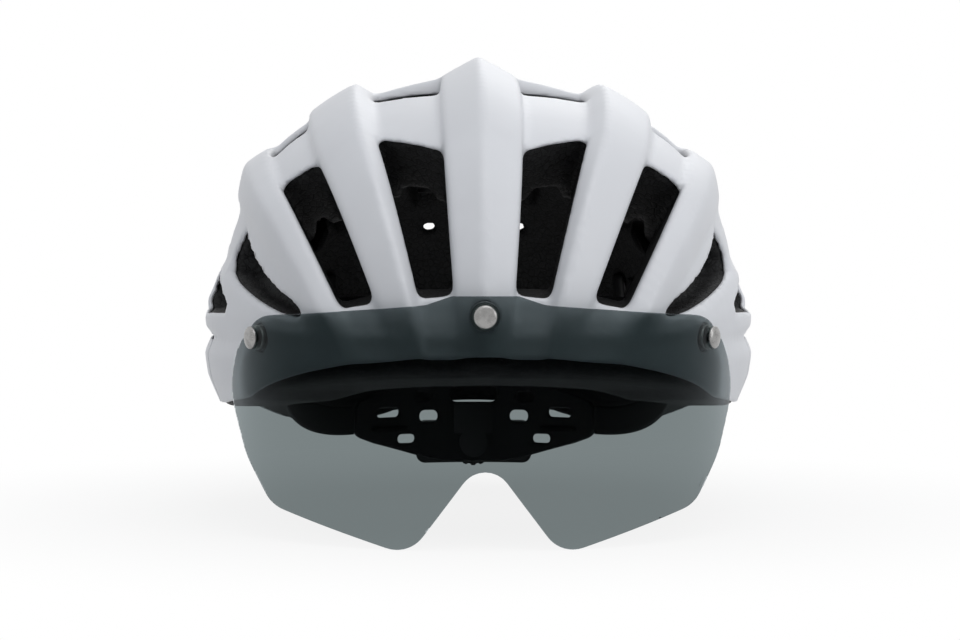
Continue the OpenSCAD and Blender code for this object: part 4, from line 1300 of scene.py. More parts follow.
@dataclass(frozen=True)
class BrushedFinish(Finish):
    """Polished metal with fine lines along one axis."""

    lines: Triple = (1.0, 1.0, 14.0)
    darkest: float = 0.8

    def varied(self, g: Graph) -> dict[str, Wire]:
        """Lines in the roughness and the normal, and random darker patches in the colour that paint in
        dark reflections.

        Args:
            g: The material's nodes.

        Returns:
            Wires by Principled socket.
        """
        place = g.object_place()
        fine = g.noise(g.stretched(place, self.lines), 1.4 * MM, 4.0)
        broad = g.noise(place, 3.0 * MM, 2.0)
        # darkest darkens the colour in random patches: painted dark reflections
        return {"Base Color": self.tones(g, broad.step_up(0.36, 0.64), self.darkest, 1.0),
                "Roughness": fine * 0.22 + broad * 0.08 + (self.roughness - 0.12),
                "Normal": g.bump(fine, 0.015, 0.7)}


@dataclass(frozen=True)
class KnitFinish(Finish):
    """Black knit over foam: small loops in rows, with loose fibres."""

    pitch: float = 0.9

    def varied(self, g: Graph) -> dict[str, Wire]:
        """Loops as the product of two waves half a step apart, on the piece's own map.

        Args:
            g: The material's nodes.

        Returns:
            Wires by Principled socket.
        """
        place, u, v = g.cloth_place()
        shift = v.wave(2.0 * self.pitch)
        loops = (u + shift * 0.3 * self.pitch).wave(self.pitch) * v.wave(self.pitch)
        fibre = g.noise(place, 0.35, 3.0)
        wear = g.noise(place, 9.0, 2.0)
        return {"Base Color": self.tones(g, (loops * 0.6 + fibre * 0.4).step_up(0.1, 0.8), 0.4, 1.7),
                "Roughness": wear * 0.12 + (self.roughness - 0.06),
                "Normal": g.bump(loops * 0.8 + fibre * 0.2, 0.16, 0.8)}


@dataclass(frozen=True)
class WebbingFinish(Finish):
    """Woven webbing: slanted ribs that change hand at every few millimetres of width."""

    pitch: float = 1.5
    band: float = 5.0

    def varied(self, g: Graph) -> dict[str, Wire]:
        """Ribs as a wave of u plus a zigzag of v, the yarns across them as a finer wave.

        Args:
            g: The material's nodes.

        Returns:
            Wires by Principled socket.
        """
        place, u, v = g.cloth_place()
        zigzag = v.maths("PINGPONG", self.band / 2.0)
        ribs = (u + zigzag).wave(self.pitch)
        yarns = v.wave(0.55)
        fibre = g.noise(place, 0.2, 3.0)
        height = ribs * 0.65 + yarns * 0.2 + fibre * 0.15
        return {"Base Color": self.tones(g, height.step_up(0.1, 0.9), 0.4, 1.8),
                "Roughness": fibre * 0.15 + (self.roughness - 0.07),
                "Normal": g.bump(height, 0.2, 0.85)}


SHELL = ShellFinish("shell_matt_white", (0.745, 0.755, 0.785), 0.46, (("Specular IOR Level", 0.42),))
FOAM = BeadFinish("bead_foam_black", (0.019, 0.0192, 0.0198), 0.66, (("Specular IOR Level", 0.16),))
LENS = LensFinish("lens_smoke_sheet", (0.9, 0.95, 1.0), 0.015)
RIVET = BrushedFinish("rivet_polished", (0.33, 0.327, 0.323), 0.27, (("Metallic", 1.0),),
                      (1.0, 1.0, 6.0), 0.75)
MAGNET = BrushedFinish("magnet_nickel", (0.62, 0.61, 0.58), 0.3, (("Metallic", 1.0),))
SEAT = BrushedFinish("seat_dark_plate", (0.36, 0.36, 0.37), 0.42, (("Metallic", 1.0),), (1.0, 1.0, 3.0))
SCREW = BrushedFinish("screw_zinc", (0.62, 0.62, 0.63), 0.3, (("Metallic", 1.0),), (14.0, 1.0, 1.0))
PLASTIC = Finish("moulded_black", (0.014, 0.014, 0.015), 0.45, (("Specular IOR Level", 0.25),))
NYLON = Finish("flexible_nylon", (0.012, 0.012, 0.013), 0.55, (("Specular IOR Level", 0.16),))
GEAR = Finish("gear_acetal", (0.12, 0.12, 0.125), 0.34)
RUBBER = Finish("grip_rubber", (0.020, 0.020, 0.021), 0.72, (("Specular IOR Level", 0.35),))
BUCKLE = Finish("buckle_acetal", (0.014, 0.014, 0.015), 0.36, (("Specular IOR Level", 0.3),))
RED = Finish("red_plastic", (0.42, 0.012, 0.010), 0.4)
KNIT = KnitFinish("pad_knit", (0.010, 0.010, 0.011), 0.88,
                  (("Sheen Weight", 0.03), ("Specular IOR Level", 0.06)))
HOOK = KnitFinish("hook_tape", (0.028, 0.028, 0.03), 0.8, (("Specular IOR Level", 0.25),), 0.7)
WEBBING = WebbingFinish("strap_webbing", (0.016, 0.016, 0.017), 0.66, (("Specular IOR Level", 0.2),))


def rounded_outline(corners: Corners) -> np.ndarray:
    """Closed outline with an arc of eight parts at each corner.

    Args:
        corners: Corners as (u, v, radius).

    Returns:
        Points. The arc's middle lies on the corner's bisector at radius / sin(half the angle).
    """
    found = []
    count = len(corners)
    for i, (cu, cv, radius) in enumerate(corners):
        c = np.array([cu, cv])
        u = np.array(corners[i - 1][:2]) - c
        v = np.array(corners[(i + 1) % count][:2]) - c
        u, v = u / np.linalg.norm(u), v / np.linalg.norm(v)
        half = math.acos(float(np.clip(u @ v, -1.0, 1.0))) / 2.0
        middle = c + (u + v) / np.linalg.norm(u + v) * radius / math.sin(half)
        start, stop = c + u * radius / math.tan(half) - middle, c + v * radius / math.tan(half) - middle
        a, b = math.atan2(start[1], start[0]), math.atan2(stop[1], stop[0])
        turn = (b - a + 3.0 * math.pi) % (2.0 * math.pi) - math.pi
        angle = a + turn * np.linspace(0.0, 1.0, 9)
        found.append(middle + radius * np.column_stack([np.cos(angle), np.sin(angle)]))
    return np.vstack(found)


def finalised(made: Piece) -> Piece:
    """The piece with its modifiers worked into its mesh.

    Args:
        made: The piece.

    Returns:
        The same piece.
    """
    bpy.context.view_layer.update()
    graph = bpy.context.evaluated_depsgraph_get()
    mesh = bpy.data.meshes.new_from_object(made.evaluated_get(graph), depsgraph=graph)
    made.modifiers.clear()
    made.data = mesh
    return made


@dataclass
class Workshop:
    """What every sub-assembly needs: the CAD nodes, and how a piece is put on its body.
    """

    nodes: dict
    fine: bool

    def place(self, piece: Piece, body: Body | None, finish: Finish, slot: str,
              *replaced: str) -> Piece:
        """Dresses a piece, hides the nodes that it stands for, and makes it ride.

        Args:
            piece: The piece.
            body: Its body, or None for a piece that stays unattached.
            finish: Its finish.
            slot: The record's material slot; not used.
            replaced: Names of the nodes that it stands for.

        Returns:
            The piece.
        """
        piece.data.materials.clear()
        piece.data.materials.append(finish.material())
        if replaced:
            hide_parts(*replaced)
        if body:
            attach(piece, body.value)
        log.info("%s: %d faces on %s", piece.name, len(piece.data.polygons),
                 body.value if body else "two bodies")
        return piece

    def refinish(self, node: str, width: float, body: Body | None, finish: Finish, slot: str,
                 angle: float = 28.0) -> Piece:
        """Places a copy of a CAD node in its stead, its doubles merged and its edges rounded.

        Args:
            node: The node's name.
            width: Width of the rounding.
            body: Its body, or None for a copy that stays unattached.
            finish: Its finish.
            slot: The record's material slot.
            angle: Least angle of an edge that is rounded.

        Returns:
            The copy.
        """
        mesh = self.nodes[node].data.copy()
        mesh.materials.clear()
        made = in_scene(node + "_finished", mesh)
        shape = bmesh.new()
        shape.from_mesh(mesh)
        bmesh.ops.remove_doubles(shape, verts=shape.verts, dist=0.002 * MM)
        bmesh.ops.dissolve_limit(shape, angle_limit=math.radians(0.6), verts=shape.verts,
                                 edges=shape.edges)
        shape.to_mesh(mesh)
        shape.free()
        mesh.polygons.foreach_set("use_smooth", np.ones(len(mesh.polygons), bool))
        bevel = made.modifiers.new("edges", "BEVEL")
        bevel.width, bevel.segments = width * MM, 2
        bevel.limit_method, bevel.angle_limit = "ANGLE", math.radians(angle)
        bevel.harden_normals = True
        return self.place(finalised(made), body, finish, slot, node)


@dataclass
class HelmetSkin:
    """The white skin in two pieces and the foam under it.

    The two steps are those of the grids on which skin and foam are worked out, and rivet_hole is
    the radius of the holes round the magnet seats.
    """

    form: HelmetForm = field(default_factory=HelmetForm)
    skin_step: float = 1.72
    foam_step: float = 1.9
    rivet_hole: float = 5.55

    def rivet_clearance(self, p: Points) -> Values:
        """Distance from the nearest rivet's axis, less the hole's radius, or FAR.

        Args:
            p: Points, one per row.

        Returns:
            Positive outside the holes, and FAR for points a long way off.
        """
        best = np.full(len(p), FAR)
        for rivet in RIVETS.values():
            close = np.abs((p - rivet.foot()) @ rivet.way()) < 30.0
            best = np.minimum(best, np.where(close, rivet.beside(p) - self.rivet_hole, FAR))
        return best

    def build(self, shop: Workshop) -> None:
        """Makes the three pieces.

        Args:
            shop: Places them.
        """
        coarse = 1.0 if shop.fine else 1.9
        f = self.form
        points, quads = grid_net(lambda p: f.outside(p)[0], (0, -146, -54), (112, 156, 112),
                                 self.skin_step * coarse, lambda p: -f.wrap - 6.0 - f.dome.rise(p, 3))
        height, over = f.outside(points)[1], f.over_rim(points)
        skinned = np.minimum(height + f.wrap, over)
        behind, below = points[:, 1] - f.seam_front_y, f.belt.seam_z - points[:, 2]
        upper = np.minimum.reduce([skinned, -np.minimum(behind, below), self.rivet_clearance(points)])
        lower = np.minimum(skinned, np.minimum(behind, below) - f.seam_gap)
        for name, keep in (("upper", upper), ("lower", lower)):
            cut, tris = largest_pieces(*trimmed(points, quads, keep), 300)
            rim = border_edges(tris)
            cut = evened(smoothed(cut, rim, 2), rim, 6)
            on_rim = np.zeros(len(cut), bool)
            on_rim[rim.ravel()] = True
            cut = lerp(cut, smoothed(cut, tris, 2, on_rim), 0.6)
            skin, faces = thickened(cut, tris, f.skin_t, 0.3)
            shop.place(make_object(f"skin_{name}", skin, faces), Body.HELMET, SHELL,
                       "shell_white" if name == "upper" else "shell_white_lower", f"shell_{name}")
        points, quads = grid_net(f.foam, (0, -146, -58), (112, 156, 110), self.foam_step * coarse, None)
        shop.place(make_object("foam_liner", points, quads), Body.HELMET, FOAM, "foam_black", "liner")


LENS_RADIUS, LENS_THICK, LENS_AXIS_Y = 99.0, 1.8, -44.0


@dataclass(frozen=True)
class RivetPlace:
    """Where a rivet goes through the lens.

    turn is the angle round the lens's axis from the front, and z the height.
    """

    turn: float
    z: float

    def way(self) -> Points:
        """The direction in which the rivet's head faces."""
        a = math.radians(self.turn)
        return np.array([math.sin(a), -math.cos(a), 0.0])

    def foot(self) -> Points:
        """The point of its axis on the lens's inner face."""
        return np.array([0.0, LENS_AXIS_Y, self.z]) + (LENS_RADIUS - LENS_THICK) * self.way()

    def beside(self, points: Points) -> Values:
        """Distance of points from its axis."""
        q, way = points - self.foot(), self.way()
        return np.linalg.norm(q - np.outer(q @ way, way), axis=1)

    def set_in(self, points: Points) -> Points:
        """Points given as (sideways, up, outwards) brought to the rivet's place."""
        way, up = self.way(), np.array([0.0, 0.0, 1.0])
        return self.foot() + points @ np.array([np.cross(way, up), up, way])


RIVETS = {"mid": RivetPlace(0.0, 7.3), "left": RivetPlace(59.2, -2.3), "right": RivetPlace(-59.2, -2.3)}


@dataclass
class CurvedPlate:
    """A sheet bent round an upright axis and cut to an outline seen from the front or the back.

    Outline and holes are given by their corners as (x, z, radius). radius is the inner one, ahead
    says whether the sheet lies in front of its axis, step is its grid's, and edge rounds the rim.
    """

    outline: Corners
    holes: Sequence[Corners]
    radius: float
    thick: float
    axis_y: float
    ahead: bool
    step: float = 1.0
    edge: float = 0.35

    def surface(self, bored: Field) -> Surface:
        """The sheet as a closed wall.

        Args:
            bored: Distance outside the round holes, which is positive where the sheet is kept.

        Returns:
            Points and triangles. A point is (r sin a, axis_y -+ r cos a, z), and the outline's
            distance in (x, z) cuts the sheet.
        """
        line = rounded_outline(self.outline)
        outer = self.radius + self.thick
        reach = min(1.0, (np.abs(line[:, 0]).max() + 2.0) / outer)
        half = math.asin(reach)
        a = np.linspace(-half, half, int(2.0 * half * outer / self.step) | 1)
        z = np.arange(line[:, 1].min() - 1.5, line[:, 1].max() + 1.5, self.step)
        aa, zz = (m.ravel() for m in np.meshgrid(a, z, indexing="ij"))
        way = -1.0 if self.ahead else 1.0
        points = np.column_stack([outer * np.sin(aa), self.axis_y + way * outer * np.cos(aa), zz])
        keep = np.minimum(bored(points), -polygon_distance(points[:, 0], points[:, 2], line))
        for hole in self.holes:
            keep = np.minimum(keep, polygon_distance(points[:, 0], points[:, 2], rounded_outline(hole)))
        cut, tris = trimmed(points, sheet_grid(len(a), len(z)), keep)
        if areas(cut, tris).sum(axis=0)[1] * way < 0.0:
            tris = tris[:, ::-1]
        return thickened(cut, tris, self.thick, self.edge)


def mirrored(corners: Corners, *middle: Sequence[float]) -> list[Sequence[float]]:
    """Corners of the right half, corners on the middle line, then the left half's corners."""
    return [*corners, *middle, *((-x, z, r) for x, z, r in reversed(corners))]


@dataclass
class Visor:
    """The smoke lens with its three rivets and the magnets behind it.

    The lens's outline is given by the corners of its half towards +X, as (x, z, radius), and the
    nose notch's corner on the middle line. A rivet has a head with a low dome, and a shank.
    """

    corners: tuple[Triple, ...] = (
        (11.8, 14.6, 4), (21.5, 11.3, 9), (82.5, 6.1, 9), (91.2, -6, 22), (94.7, -22, 34),
        (87.6, -46, 34), (77.5, -63, 12), (27.4, -77.7, 12))
    notch: Triple = (0, -41.4, 9.7)
    head_r: float = 4.2
    head_h: float = 1.3
    shank_r: float = 1.5
    step: float = 1.1
    quick_step: float = 2.0

    def rivet(self, place: RivetPlace) -> Surface:
        """A rivet turned about its axis: flat-topped dome, short rim and shank.

        Args:
            place: Where it goes.

        Returns:
            Points and triangles of the closed form, from a profile of (radius, height) turned round.
        """
        seat = LENS_THICK + 0.12
        t = np.linspace(0.0, 1.0, 14)
        dome_r = self.head_r * np.sin(t * math.pi / 2.0)
        dome_h = seat + 0.45 + (self.head_h + 0.05) * np.cos(t * math.pi / 2.0) ** 0.8
        r = np.concatenate([dome_r[1:], [self.head_r, self.head_r - 0.15, self.shank_r, self.shank_r]])
        h = np.concatenate([dome_h[1:], [seat + 0.15, seat, seat, -1.5]])
        a = np.linspace(0.0, 2.0 * math.pi, 64, endpoint=False)
        rings = np.stack([np.outer(r, np.cos(a)), np.outer(r, np.sin(a)),
                          np.repeat(h[:, None], len(a), axis=1)], axis=-1)
        ends = np.array([[0.0, 0.0, dome_h[0]], [0.0, 0.0, h[-1]]])
        return closed_tube(place.set_in(rings), *place.set_in(ends))

    def build(self, shop: Workshop) -> None:
        """Makes the lens, rivets and magnets.

        Args:
            shop: Places them.
        """
        plate = CurvedPlate(mirrored(self.corners, self.notch), (), LENS_RADIUS - LENS_THICK,
                            LENS_THICK, LENS_AXIS_Y, True,
                            self.step if shop.fine else self.quick_step)
        hole = self.shank_r + 0.08
        lens = plate.surface(lambda p: np.minimum.reduce([r.beside(p) for r in RIVETS.values()]) - hole)
        shop.place(make_object("lens", *lens), Body.VISOR, LENS, "lens_smoke", "visor_lens")
        for name, rivet in RIVETS.items():
            shop.place(make_object(f"rivet_{name}_turned", *self.rivet(rivet), 35.0), Body.VISOR, RIVET,
                       "rivet_metal", f"rivet_{name}")
            shop.refinish(f"magnet_{name}", 0.2, Body.VISOR, MAGNET, "magnet_metal")
            shop.refinish(f"seat_{name}", 0.4, Body.HELMET, SEAT, "seat_dark")


@dataclass
class Cushion:
    """A crowned pad with a flat welded border, laid over a patch of a surface.

    The patch is a range u and a range v of the surface's two coordinates, and the pad's underside
    lies off from it. border and flange are the border's width and thickness, and channels are the
    places of the welded channels, as shares of the length.
    """

    at: Laid
    u: Pair
    v: Pair
    off: float
    thick: float
    border: float = 1.8
    flange: float = 1.1
    channels: tuple[float, ...] = ()
    sides: int = 96
    rings: int = 14
    swell: float = 0.9

    def spans(self) -> Pair:
        """Length and width over the surface, in millimetres, along its two middle lines."""
        many = np.linspace(0.0, 1.0, 40)
        lines = (self.at(lerp(*self.u, many), sum(self.v) / 2.0, self.off),
                 self.at(sum(self.u) / 2.0, lerp(*self.v, many), self.off))
        length, width = (np.linalg.norm(np.diff(line, axis=0), axis=1).sum() for line in lines)
        return float(length), float(width)

    def plan(self) -> tuple[np.ndarray, np.ndarray, np.ndarray]:
        """Flat places of the points, as (along, across) in millimetres from the middle.

        Returns:
            The places ring by ring from the middle of the top over the edge to the middle of the
            underside, the distance of each from the border, and 1 for the top or 0 for below.
        """
        length, width = self.spans()
        inset = np.minimum(width, length) / 2.0 * (1.0 - np.linspace(0.04, 1.0, self.rings) ** 0.8)
        inset = np.concatenate([inset, inset[::-1]])
        top = np.concatenate([np.ones(self.rings), np.zeros(self.rings)])
        phi = np.radians(np.linspace(0.0, 360.0, self.sides, endpoint=False))
        along_it = (length / 2.0 - inset)[:, None] * boxed(np.cos(phi), 3.6)
        across = (width / 2.0 - inset)[:, None] * boxed(np.sin(phi), 3.6)
        return np.stack([along_it, across], axis=-1), *(
            np.repeat(ring[:, None], self.sides, axis=1) for ring in (inset, top))

    def lay(self, plan: np.ndarray, height: np.ndarray) -> Points:
        """Flat places and heights laid over the surface.

        Args:
            plan: Flat places.
            height: Heights over the underside.

        Returns:
            Points.
        """
        length, width = self.spans()
        share_u, share_v = plan[..., 0] / length + 0.5, plan[..., 1] / width + 0.5
        return self.at(lerp(*self.u, share_u), lerp(*self.v, share_v), self.off + height)

    def surface(self) -> tuple[Points, Faces, np.ndarray, np.ndarray]:
        """The closed form.

        Returns:
            Points, triangles, the flat places and how far up each point stands, from 0 to 1. The
            height is flange + (thick - flange) (1 - (1 - s)^2.4)^0.5 with s the inset's share.
        """
        plan, inset, top = self.plan()
        crown = min(self.spans()) / 2.0 * 0.8
        s = np.clip((inset - self.border) / (crown - self.border), 0.0, 1.0)
        height = top * (self.flange + (self.thick - self.flange) * np.sqrt(1.0 - (1.0 - s) ** 2.4))
        points = self.lay(plan, height)
        made, faces = closed_tube(points, points[0].mean(axis=0), points[-1].mean(axis=0))
        flat = np.vstack([plan.reshape(-1, 2), [[0.0, 0.0], [0.0, 0.0]]])
        up = np.concatenate([height.ravel() / self.thick, [1.0, 0.0]])
        return made, faces, flat, up

    def sewn(self, points: Points, flat: np.ndarray, up: np.ndarray) -> Points:
        """Points pressed in along the channels.

        Args:
            points: Points of the pad.
            flat: Their flat places.
            up: How far up each stands, from 0 to 1.

        Returns:
            The points, lowered by 0.72 / (1 + (distance / 0.9)^4) of their height off the border.
        """
        length, _ = self.spans()
        press = np.zeros(len(points))
        for share in self.channels:
            gap = flat[:, 0] - (share - 0.5) * length
            press = np.maximum(press, 1.0 / (1.0 + (gap / 0.9) ** 4))
        low = self.lay(flat, np.full(len(flat), self.flange * 0.9))
        return lerp(points, low, (press * 0.72 * ease((up - 0.3) / 0.3))[:, None])


def together(cushions: Sequence[Cushion]) -> tuple[Points, Faces, np.ndarray]:
    """Points, triangles and flat places of several cushions as one mesh.

    Args:
        cushions: The cushions.

    Returns:
        The three, each joined in order.
    """
    points, faces, flat, _ = zip(*(cushion.surface() for cushion in cushions))
    offsets = np.cumsum([0] + [len(p) for p in points[:-1]])
    return np.vstack(points), np.vstack([f + o for f, o in zip(faces, offsets)]), np.vstack(flat)


def blown(name: str, cushion: Cushion, fine: bool) -> Piece:
    """A pad swollen by cloth under pressure, then pressed in at its channels.

    Args:
        name: The piece's name.
        cushion: Its form.
        fine: Whether the simulation runs.

    Returns:
        The piece, with one level of subdivision. No point moves further than cushion.swell.
    """
    points, faces, flat, up = cushion.surface()
    made = make_object(name, points, faces)
    if fine:
        cloth = made.modifiers.new("swell", "CLOTH")
        cloth.settings.quality = 5
        cloth.settings.mass = 0.2
        cloth.settings.use_pressure = True
        cloth.settings.uniform_pressure_force = 4.0
        cloth.settings.effector_weights.gravity = 0.0
        cloth.point_cache.frame_start, cloth.point_cache.frame_end = 1, 20
        for frame_number in range(1, 21):
            bpy.context.scene.frame_set(frame_number)
        graph = bpy.context.evaluated_depsgraph_get()
        swollen = np.empty(len(points) * 3)
        made.evaluated_get(graph).data.vertices.foreach_get("co", swollen)
        made.modifiers.clear()
        bpy.context.scene.frame_set(1)
        move = swollen.reshape(-1, 3) / MM - points
        size = np.maximum(np.linalg.norm(move, axis=1), 1e-9)
        points = points + move * (np.minimum(size, cushion.swell) / size * ease(up / 0.3))[:, None]
    points = cushion.sewn(points, flat, up)
    made.data.vertices.foreach_set("co", (points * MM).astype(np.float32).ravel())
    made.data.update()
    set_uv(made, flat)
    smooth = made.modifiers.new("smooth", "SUBSURF")
    smooth.levels = smooth.render_levels = 1
    return finalised(made)


def ribbon(name: str, path: Points, inward: Points, width: float, thick: float,
           hand: float) -> Piece:
    """A flat strap along a path, its section a rounded box, with its own map along and across.

    Args:
        name: The piece's name.
        path: Points of its outer face's middle line on the left side.
        inward: The direction off the surface at each.
        width: Its width.
        thick: Its thickness.
        hand: 1 for the left side, -1 for the right.

    Returns:
        The piece. The section is (w/2 |cos|^(1/4), t/2 |sin|^(1/2)) with signs, carried across
        the path.
    """
    flip = np.array([hand, 1.0, 1.0])
    path, inward = path * flip, inward * flip
    forward = np.gradient(path, axis=0)
    across = np.cross(forward, inward)
    across /= np.linalg.norm(across, axis=1)[:, None]
    deep = inward / np.linalg.norm(inward, axis=1)[:, None]
    a = np.radians(np.linspace(0.0, 360.0, 28, endpoint=False))
    side, up = width / 2.0 * boxed(np.cos(a), 8.0), thick / 2.0 * (1.0 + boxed(np.sin(a), 4.0))
    rings = path[:, None] + side[:, None] * across[:, None] + up[:, None] * deep[:, None]
    points, faces = closed_tube(rings, rings[0].mean(axis=0), rings[-1].mean(axis=0))
    run = np.concatenate([[0.0], np.cumsum(np.linalg.norm(np.diff(path, axis=0), axis=1))])
    uv = np.column_stack([np.repeat(run, len(a)), np.tile(side, len(run))])
    uv = np.vstack([uv, [[run[0], 0.0], [run[-1], 0.0]]])
    made = make_object(name, points, faces)
    set_uv(made, uv)
    return made


@dataclass
class Lining:
    """Pads, hook patches and the small parts fixed inside the foam.

    The undersides of pads and patches lie pad_off and patch_off from the foam. pad_fill, how tight
    the pads are filled, is not used.
    """

    space: HeadSpace = HEAD_SPACE
    pad_off: float = 1.6
    pad_thick: float = 5.0
    pad_fill: float = 0.55
    patch_off: float = 0.3
    patch_thick: float = 1.0

    def pads(self) -> list[tuple[str, str, Cushion]]:
        """Every pad as its name, the node it stands for, and its form."""
        wall, roof = self.space.wall, self.space.roof
        brow_channels = (0.1, 0.24, 0.38, 0.5, 0.62, 0.76, 0.9)
        spots = (("pad_brow", "brow_pad", wall, (-46, 46), (-6, 13), brow_channels, 168),
                 ("pad_crown_front", "crown_pad_front", roof, (40, 74), (-15, 15), (0.33, 0.67), 96),
                 ("pad_crown_rear", "crown_pad_rear", roof, (106, 136), (-13, 13), (0.5,), 96),
                 ("pad_side_left", "side_pad_left", wall, (50, 80), (24, 40), (0.5,), 96),
                 ("pad_side_right", "side_pad_right", wall, (-80, -50), (24, 40), (0.5,), 96))
        return [(name, node, Cushion(*patch, self.pad_off, self.pad_thick, channels=channels,
                                     sides=sides)) for name, node, *patch, channels, sides in spots]

    def patches(self, at: Laid, spots: Sequence[tuple[float, float, float, float]], thick: float,
                flange: float) -> list[Cushion]:
        """Small crowned patches of one surface.

        Args:
            at: The surface.
            spots: Each patch as its ranges of the two coordinates.
            thick: Thickness.
            flange: Thickness at the border.

        Returns:
            The patches' forms.
        """
        return [Cushion(at, spot[:2], spot[2:], self.patch_off, thick, 0.3, flange, sides=40, rings=6)
                for spot in spots]

    def build(self, shop: Workshop) -> None:
        """Makes the lining.

        Args:
            shop: Places the pieces.
        """
        for name, node, form in self.pads():
            pad = shop.place(blown(name, form, shop.fine), Body.HELMET, KNIT, "pad_fabric", node)
        wall, roof = self.space.wall, self.space.roof
        on_wall = [*((a - 5.0, a + 5.0, 0.0, 7.0) for a in (-34, 0, 34)),
                   (60.0, 70.0, 28.0, 36.0), (-70.0, -60.0, 28.0, 36.0)]
        on_roof = [(t, t + 6.0, -5.0, 5.0) for t in (46, 62, 112, 124)]
        points, faces, flat = together(self.patches(wall, on_wall, self.patch_thick, 0.8)
                                       + self.patches(roof, on_roof, self.patch_thick, 0.8))
        hooks = make_object("hook_tape_patches", points, faces)
        set_uv(hooks, flat)
        shop.place(hooks, Body.HELMET, HOOK, "hook_fabric", "hook_patches")
        posts = [(s * a - 2.4, s * a + 2.4, z - 6.0, z + 6.0) for a, z in ((51.5, 12.5), (138.5, 10.5))
                 for s in (1, -1)]
        points, faces, _ = together(self.patches(wall, posts, 2.4, 1.2))
        shop.place(make_object("strap_anchor_posts", points, faces), Body.HELMET, PLASTIC,
                   "black_plastic", "strap_anchors")
        points, faces, _ = together(self.patches(roof, [(134.5, 138.0, 27.0, 32.0)], 1.6, 1.0))
        shop.place(make_object("red_tab_clip", points, faces), Body.HELMET, RED, "tab_red", "red_tab")
        for node, width in (("temple_plug_left", 0.5), ("temple_plug_right", 0.5),
                            ("divider_left", 0.5), ("divider_right", 0.5), ("strap_keeper", 0.5),
                            ("hanger_base", 0.4)):
            shop.refinish(node, width, Body.HELMET, PLASTIC, "black_plastic")


@dataclass
class Straps:
    """The webbing: four side straps, and the chin strap stowed over the roof with its buckle.

    An anchor is given as its name, angle, height and side of the strap divider, which the side
    straps enter at end_z. The chin strap stands lift off the foam where it leaves it, at an angle
    lean, for the buckle. gap is the room between a strap and the part that it enters.
    """

    space: HeadSpace = HEAD_SPACE
    width: float = 15.0
    side_width: float = 12.0
    thick: float = 1.4
    off: float = 0.8
    divider_z: float = -7.0
    divider_l: float = 26.0
    divider_h: float = 18.0
    end_z: float = -3.0
    gap: float = 0.3
    lean: float = 31.0
    lift: float = 3.4
    buckle_z: float = 55.0
    anchors: tuple[tuple[str, float, float, float], ...] = (
        ("front", 54.5, 11.0, -1.0), ("rear", 135.0, 9.0, 1.0))

    def side_strap(self, name: str, az: float, z: float, end_az: float, hand: float) -> Piece:
        """A strap along the wall from an anchor to the divider.

        Args:
            name: The piece's name.
            az: Angle at which it starts.
            z: Height at which it starts.
            end_az: Angle at which it ends.
            hand: 1 for the left side, -1 for the right.

        Returns:
            The strap.
        """
        s = np.linspace(0.0, 1.0, 60)
        a, up = lerp(az, end_az, s), lerp(z, self.end_z, s)
        path = self.space.wall(a, up, self.off)
        inward = self.space.off_wall(a)
        inward[:, 2] = -0.35 * self.space.half_w * np.maximum(0.0, up) / self.space.height
        return ribbon(name, path, inward, self.side_width, self.thick, hand)

    def chin_strap(self, name: str, end_x: float, hand: float) -> Piece:
        """Half of the stowed chin strap, over the roof to the buckle.

        Args:
            name: The piece's name.
            end_x: Distance of its end from the middle.
            hand: 1 for the left side, -1 for the right.

        Returns:
            The strap.
        """
        from_z = self.divider_z + self.divider_h / 2.0 + self.gap
        start = math.degrees(math.acos(from_z / (self.space.half_w - self.off)))
        s = np.linspace(0.0, 1.0, 60)
        lean = lerp(start, self.lean, s)
        roof = self.space.roof(90.0, lean, self.off + self.lift * ease((s - 0.5) * 2.0))
        turn = np.radians(lean)
        inward = np.stack([-np.sin(turn) * self.space.height, 0.0 * turn,
                           -np.cos(turn) * self.space.half_w], axis=-1)
        last = np.array([end_x, self.space.middle_y, self.buckle_z + self.thick / 2.0])
        w = np.linspace(0.0, 1.0, 17)[1:, None]
        bend = (1.0 - w) ** 2 * w * (roof[-1] - roof[-8]) * 2.2
        path = np.vstack([roof, lerp(roof[-1], last, w) + bend])
        down = inward[-1] / np.linalg.norm(inward[-1])
        inward = np.vstack([inward, lerp(down, np.array([0.0, 0.0, -1.0]), ease(w * 1.3))])
        return ribbon(name, path, inward, self.width, self.thick, hand)

    def build(self, shop: Workshop) -> None:
        """Makes the straps and the buckle's halves.

        Args:
            shop: Places them.
        """
        reach = self.divider_l / 2.0 + self.gap + 1.5
        end = math.degrees(math.asin(reach / (self.space.half_w - self.off)))
        for side, hand in SIDES:
            for name, az, z, way in self.anchors:
                strap = self.side_strap(f"webbing_{name}_{side}", az, z, 90.0 + way * end, hand)
                shop.place(strap, Body.HELMET, WEBBING, "webbing", f"strap_{name}_{side}")
        shop.place(self.chin_strap("webbing_chin_right", 24.0 + self.gap, -1.0), Body.HELMET, WEBBING,
                   "webbing", "chin_strap_right")
        left = shop.place(self.chin_strap("webbing_chin_left", 17.0 + self.gap, 1.0), None, WEBBING,
                          "webbing", "chin_strap_left")
        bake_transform(left)
        shop.refinish("buckle_female", 0.7, Body.HELMET, BUCKLE, "buckle_plastic")
        shop.refinish("buckle_male", 0.5, Body.BUCKLE, BUCKLE, "buckle_plastic")


